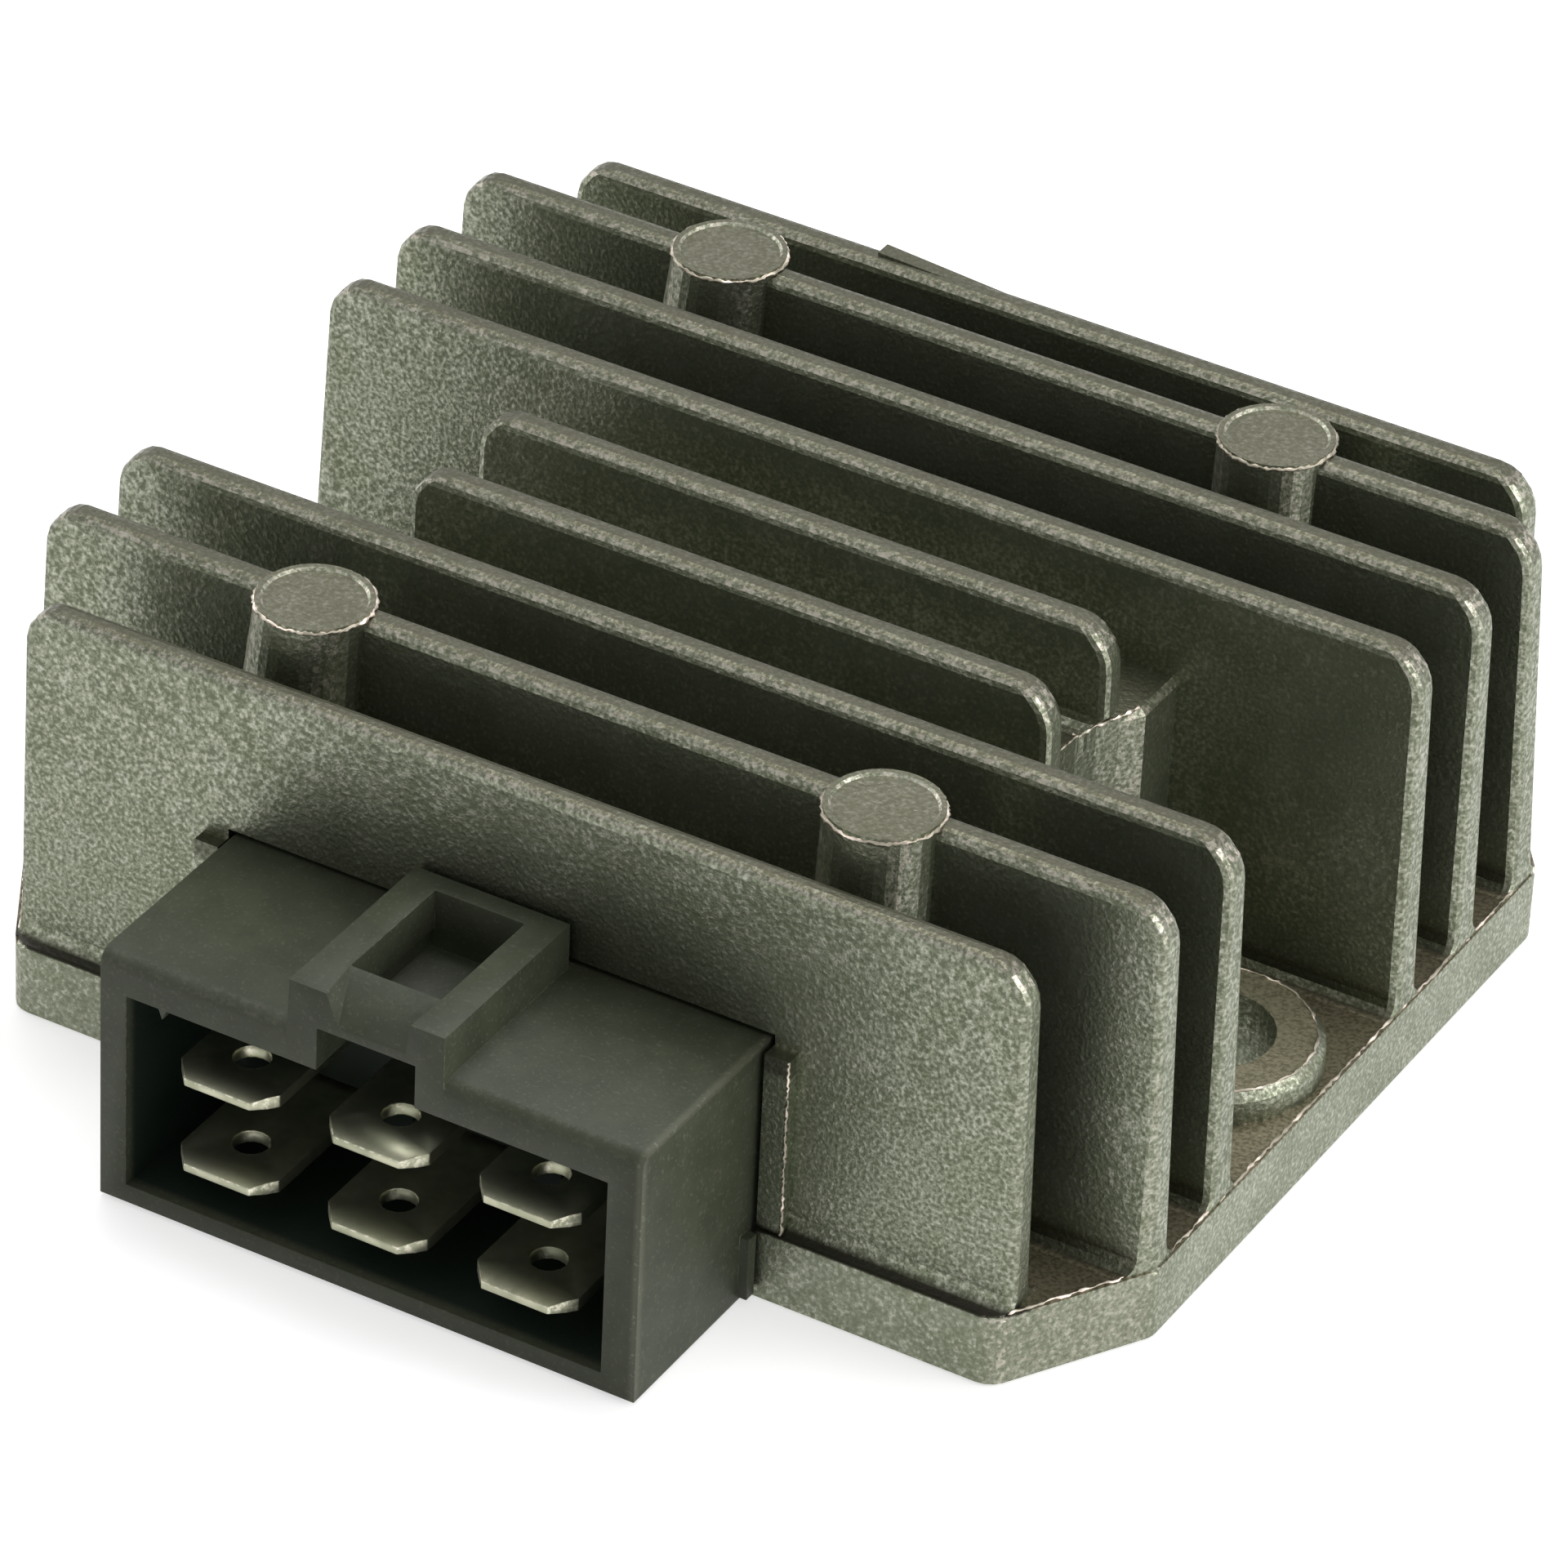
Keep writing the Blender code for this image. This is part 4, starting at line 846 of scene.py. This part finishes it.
# %% A lip for each of the four posts
LEFT_POST_X = -0.0170
RIGHT_POST_X = 0.01848
FRONT_POST_Y = -0.0163
BACK_POST_Y = 0.02755
put_lip("post_lip_front_left", LEFT_POST_X, FRONT_POST_Y, turn=20.0, droop=0.04 * MM)
put_lip("post_lip_front_right", RIGHT_POST_X, FRONT_POST_Y, turn=130.0, droop=0.12 * MM)
put_lip("post_lip_back_left", LEFT_POST_X, BACK_POST_Y, turn=230.0, droop=0.03 * MM)
put_lip("post_lip_back_right", RIGHT_POST_X, BACK_POST_Y, turn=300.0, droop=0.05 * MM)
bpy.data.objects.remove(first_lip, do_unlink=True)

# %% [markdown]
# ## Ragged edges of the casting
# Trimming leaves a thin torn bead along the outer edges: round the plate, on the waist of the
# block, on the bolt seats and on the collar right of the socket. A tube drawn by hand would not
# follow these edges exactly, so they are copied off the casting as bare lines, broken up, shaken a
# little and given a thin uneven thickness.

# %% Clean copy of the casting to take edges from
FOOT_LEVEL = 0.2 * MM
pattern = merged_copy("heat_sink")
low_points = [v.co.xy for v in pattern.data.vertices if v.co.z < FOOT_LEVEL]
outline = [low_points[i] for i in geometry.convex_hull_2d(low_points)]
sides = list(zip(outline, outline[1:] + outline[:1]))
print("edges of the casting:", len(pattern.data.edges), "corners of its outline:", len(outline))


# %% Helper: chosen edges as a line of their own
def lift_edges(name, chosen):
    """Copy the edges whose two ends both pass the test into an object of their own."""
    pick_only(pattern)
    mesh = pattern.data
    for item in (*mesh.vertices, *mesh.edges, *mesh.polygons):
        item.select = False
    for edge in mesh.edges:
        edge.select = all(chosen(mesh.vertices[i].co) for i in edge.vertices)
    bpy.ops.object.mode_set(mode="EDIT")
    bpy.ops.mesh.select_mode(type="EDGE")
    bpy.ops.mesh.duplicate()
    bpy.ops.mesh.separate(type="SELECTED")
    bpy.ops.object.mode_set(mode="OBJECT")
    bead = next(o for o in bpy.context.selected_objects if o is not pattern)
    bead.name = name
    return bead


print("helper ready")

# %% Helper: break the line into short steps
BEAD_STEP = 0.35 * MM
CUT_ROUNDS = 9


def break_up(bead):
    """Halve every edge longer than the step, again and again, and leave all of it selected."""
    pick_only(bead)
    bpy.ops.object.mode_set(mode="EDIT")
    for _ in range(CUT_ROUNDS):
        bpy.ops.object.mode_set(mode="OBJECT")
        ends = bead.data.vertices
        for edge in bead.data.edges:
            edge.select = (ends[edge.vertices[0]].co - ends[edge.vertices[1]].co).length > BEAD_STEP
        bpy.ops.object.mode_set(mode="EDIT")
        bpy.ops.mesh.subdivide(number_cuts=1)
        bpy.ops.mesh.select_all(action="DESELECT")
    bpy.ops.mesh.select_all(action="SELECT")


print("helper ready")

# %% Helper: a torn bead along chosen edges
THINNEST = 0.20
THICKEST = 1.50
SHAKE_SHARE = 0.5


def torn_bead(name, chosen, radius, seed, draw_in=1.0, lift=0.0):
    """Turn chosen edges into a thin ragged bead, drawn in and lifted a little where it asks so."""
    bead = lift_edges(name, chosen)
    break_up(bead)
    bpy.ops.transform.resize(value=(draw_in, draw_in, 1.0), center_override=(0.0, 0.0, 0.0))
    bpy.ops.transform.translate(value=(0.0, 0.0, lift))
    bpy.ops.transform.vertex_random(offset=SHAKE_SHARE * radius, uniform=1.0, seed=seed)
    bpy.ops.object.mode_set(mode="OBJECT")
    bpy.ops.object.convert(target="CURVE")
    chance = random.Random(seed)
    for spline in bead.data.splines:
        for point in spline.points:
            point.radius = chance.uniform(THINNEST, THICKEST)
    bead.data.bevel_depth = radius
    bead.data.bevel_resolution = 1
    bead.data.use_fill_caps = True
    bpy.ops.object.convert(target="MESH")
    bpy.ops.object.shade_smooth()
    bead.data.materials.clear()
    bead.data.materials.append(bare)
    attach(bead, "root")
    print(name, "faces:", len(bead.data.polygons))


print("helper ready")

# %% Where the beads run: the plate and the block
BLOCK_ROOF = 0.0211
LEVEL_SLACK = 0.03 * MM
OUTLINE_SLACK = 0.08 * MM
PLATE_FRONT_Y = -0.0241
FRONT_HALF_LENGTH = 0.030
WAIST_X = 0.0188
WAIST_Y = (-0.0039, 0.0086)


def to_outline(point):
    """Distance from a point to the plate's outline, seen from above."""
    feet = (geometry.intersect_point_line(point, a, b)[0].xy for a, b in sides)
    return min((point - foot).length for foot in feet)


def on_plate_rim(co):
    """The upper rim of the plate, apart from its front, where the painted shadow line runs."""
    on_front = co.y < PLATE_FRONT_Y and abs(co.x) < FRONT_HALF_LENGTH
    at_level = abs(co.z - PLATE_TOP) < LEVEL_SLACK
    return at_level and to_outline(co.xy) < OUTLINE_SLACK and not on_front


def on_block_waist(co):
    """The hollowed edges of the block's roof beside the bolt seats."""
    at_level = abs(co.z - BLOCK_ROOF) < LEVEL_SLACK
    return at_level and abs(co.x) > WAIST_X and WAIST_Y[0] < co.y < WAIST_Y[1]


print("tests ready")

# %% Where the beads run: the seats and the collar
SEAT_RIM = (5.8 * MM, 6.2 * MM)
CHEEK_PLACE = Vector((0.01796, -0.02435))


def on_seat_rim(co):
    """The upper rim of a bolt seat."""
    distance = (Vector((abs(co.x), co.y)) - HOLE_PLACE).length
    return abs(co.z - SEAT_TOP) < LEVEL_SLACK and SEAT_RIM[0] < distance < SEAT_RIM[1]


def on_cheek(co):
    """The upright edge of the collar, right of the socket."""
    return all(abs(value) < LEVEL_SLACK for value in co.xy - CHEEK_PLACE)


print("tests ready")

# %% Beads on the plate, the block, the seats and the collar
torn_bead("plate_flash", on_plate_rim, 0.11 * MM, seed=11, draw_in=0.9940, lift=0.04 * MM)
torn_bead("block_flash", on_block_waist, 0.10 * MM, seed=12)
torn_bead("seat_flash", on_seat_rim, 0.09 * MM, seed=13)
torn_bead("cheek_flash", on_cheek, 0.11 * MM, seed=14)
bpy.data.objects.remove(pattern, do_unlink=True)

# %% [markdown]
# ## Floor, background and lights
# The real part lies on white paper under soft studio light. Stronger lamps would whiten the paper,
# but they would wash out the metal too. So camera and mirrors see a white surround and a bright
# floor, while the light that falls on the object stays at a plain level. The floor keeps the soft
# shadow.

# %% Floor
FLOOR_SIZE = 3.0
FLOOR_DROP = 0.15 * MM
PAPER_COLOUR = (0.90, 0.90, 0.90, 1)
PAPER_ROUGHNESS = 0.9
PAPER_SHEEN = 0.1
PAPER_GLOW = 0.60
bpy.ops.object.select_all(action="DESELECT")
bpy.ops.mesh.primitive_plane_add(size=FLOOR_SIZE, location=(0.0, 0.0, -FLOOR_DROP))
floor = bpy.context.active_object
floor.name = "floor"
paper, tree, shader = new_material("floor_paper")
shader.inputs["Base Color"].default_value = PAPER_COLOUR
shader.inputs["Roughness"].default_value = PAPER_ROUGHNESS
shader.inputs["Specular IOR Level"].default_value = PAPER_SHEEN
shader.inputs["Emission Color"].default_value = (1, 1, 1, 1)
rays = add_node(tree, "ShaderNodeLightPath").outputs
shown = calculate(tree, "MAXIMUM", rays["Is Camera Ray"], rays["Is Glossy Ray"])
tree.links.new(product(tree, shown, PAPER_GLOW), shader.inputs["Emission Strength"])
floor.data.materials.append(paper)
print("floor:", floor.name)

# %% White surround
SKY_ON_OBJECT = 0.25
world = bpy.data.worlds.new("surround")
world.use_nodes = True
bpy.context.scene.world = world
sky = world.node_tree
background = sky.nodes["Background"]
rays = add_node(sky, "ShaderNodeLightPath").outputs
direct = calculate(sky, "MAXIMUM", rays["Is Camera Ray"], rays["Is Transmission Ray"])
direct = calculate(sky, "MAXIMUM", direct, rays["Is Glossy Ray"])
sky.links.new(ramp(sky, direct, 0.0, 1.0, SKY_ON_OBJECT, 1.0), background.inputs["Strength"])
background.inputs["Color"].default_value = (1, 1, 1, 1)
print("world:", world.name)


# %% Helper: a soft light
LIGHT_AIM = Vector((0.0, 0.0, 0.012))


def soft_light(name, place, size, power):
    """A rectangular soft light that looks at the object; the camera does not see it."""
    data = bpy.data.lights.new(name, "AREA")
    data.shape = "RECTANGLE"
    data.size, data.size_y = size
    data.energy = power
    light = bpy.data.objects.new(name, data)
    bpy.context.scene.collection.objects.link(light)
    light.location = place
    light.rotation_euler = (LIGHT_AIM - light.location).to_track_quat("-Z", "Y").to_euler()
    light.visible_camera = False
    print(name, power, "W")


print("helper ready")

# %% Lights
soft_light("overhead", place=(-0.05, 0.25, 0.80), size=(0.60, 0.40), power=3.4)
soft_light("left", place=(-0.60, 0.05, 0.25), size=(0.40, 0.40), power=0.8)
soft_light("right", place=(0.60, 0.10, 0.28), size=(0.40, 0.40), power=2.2)
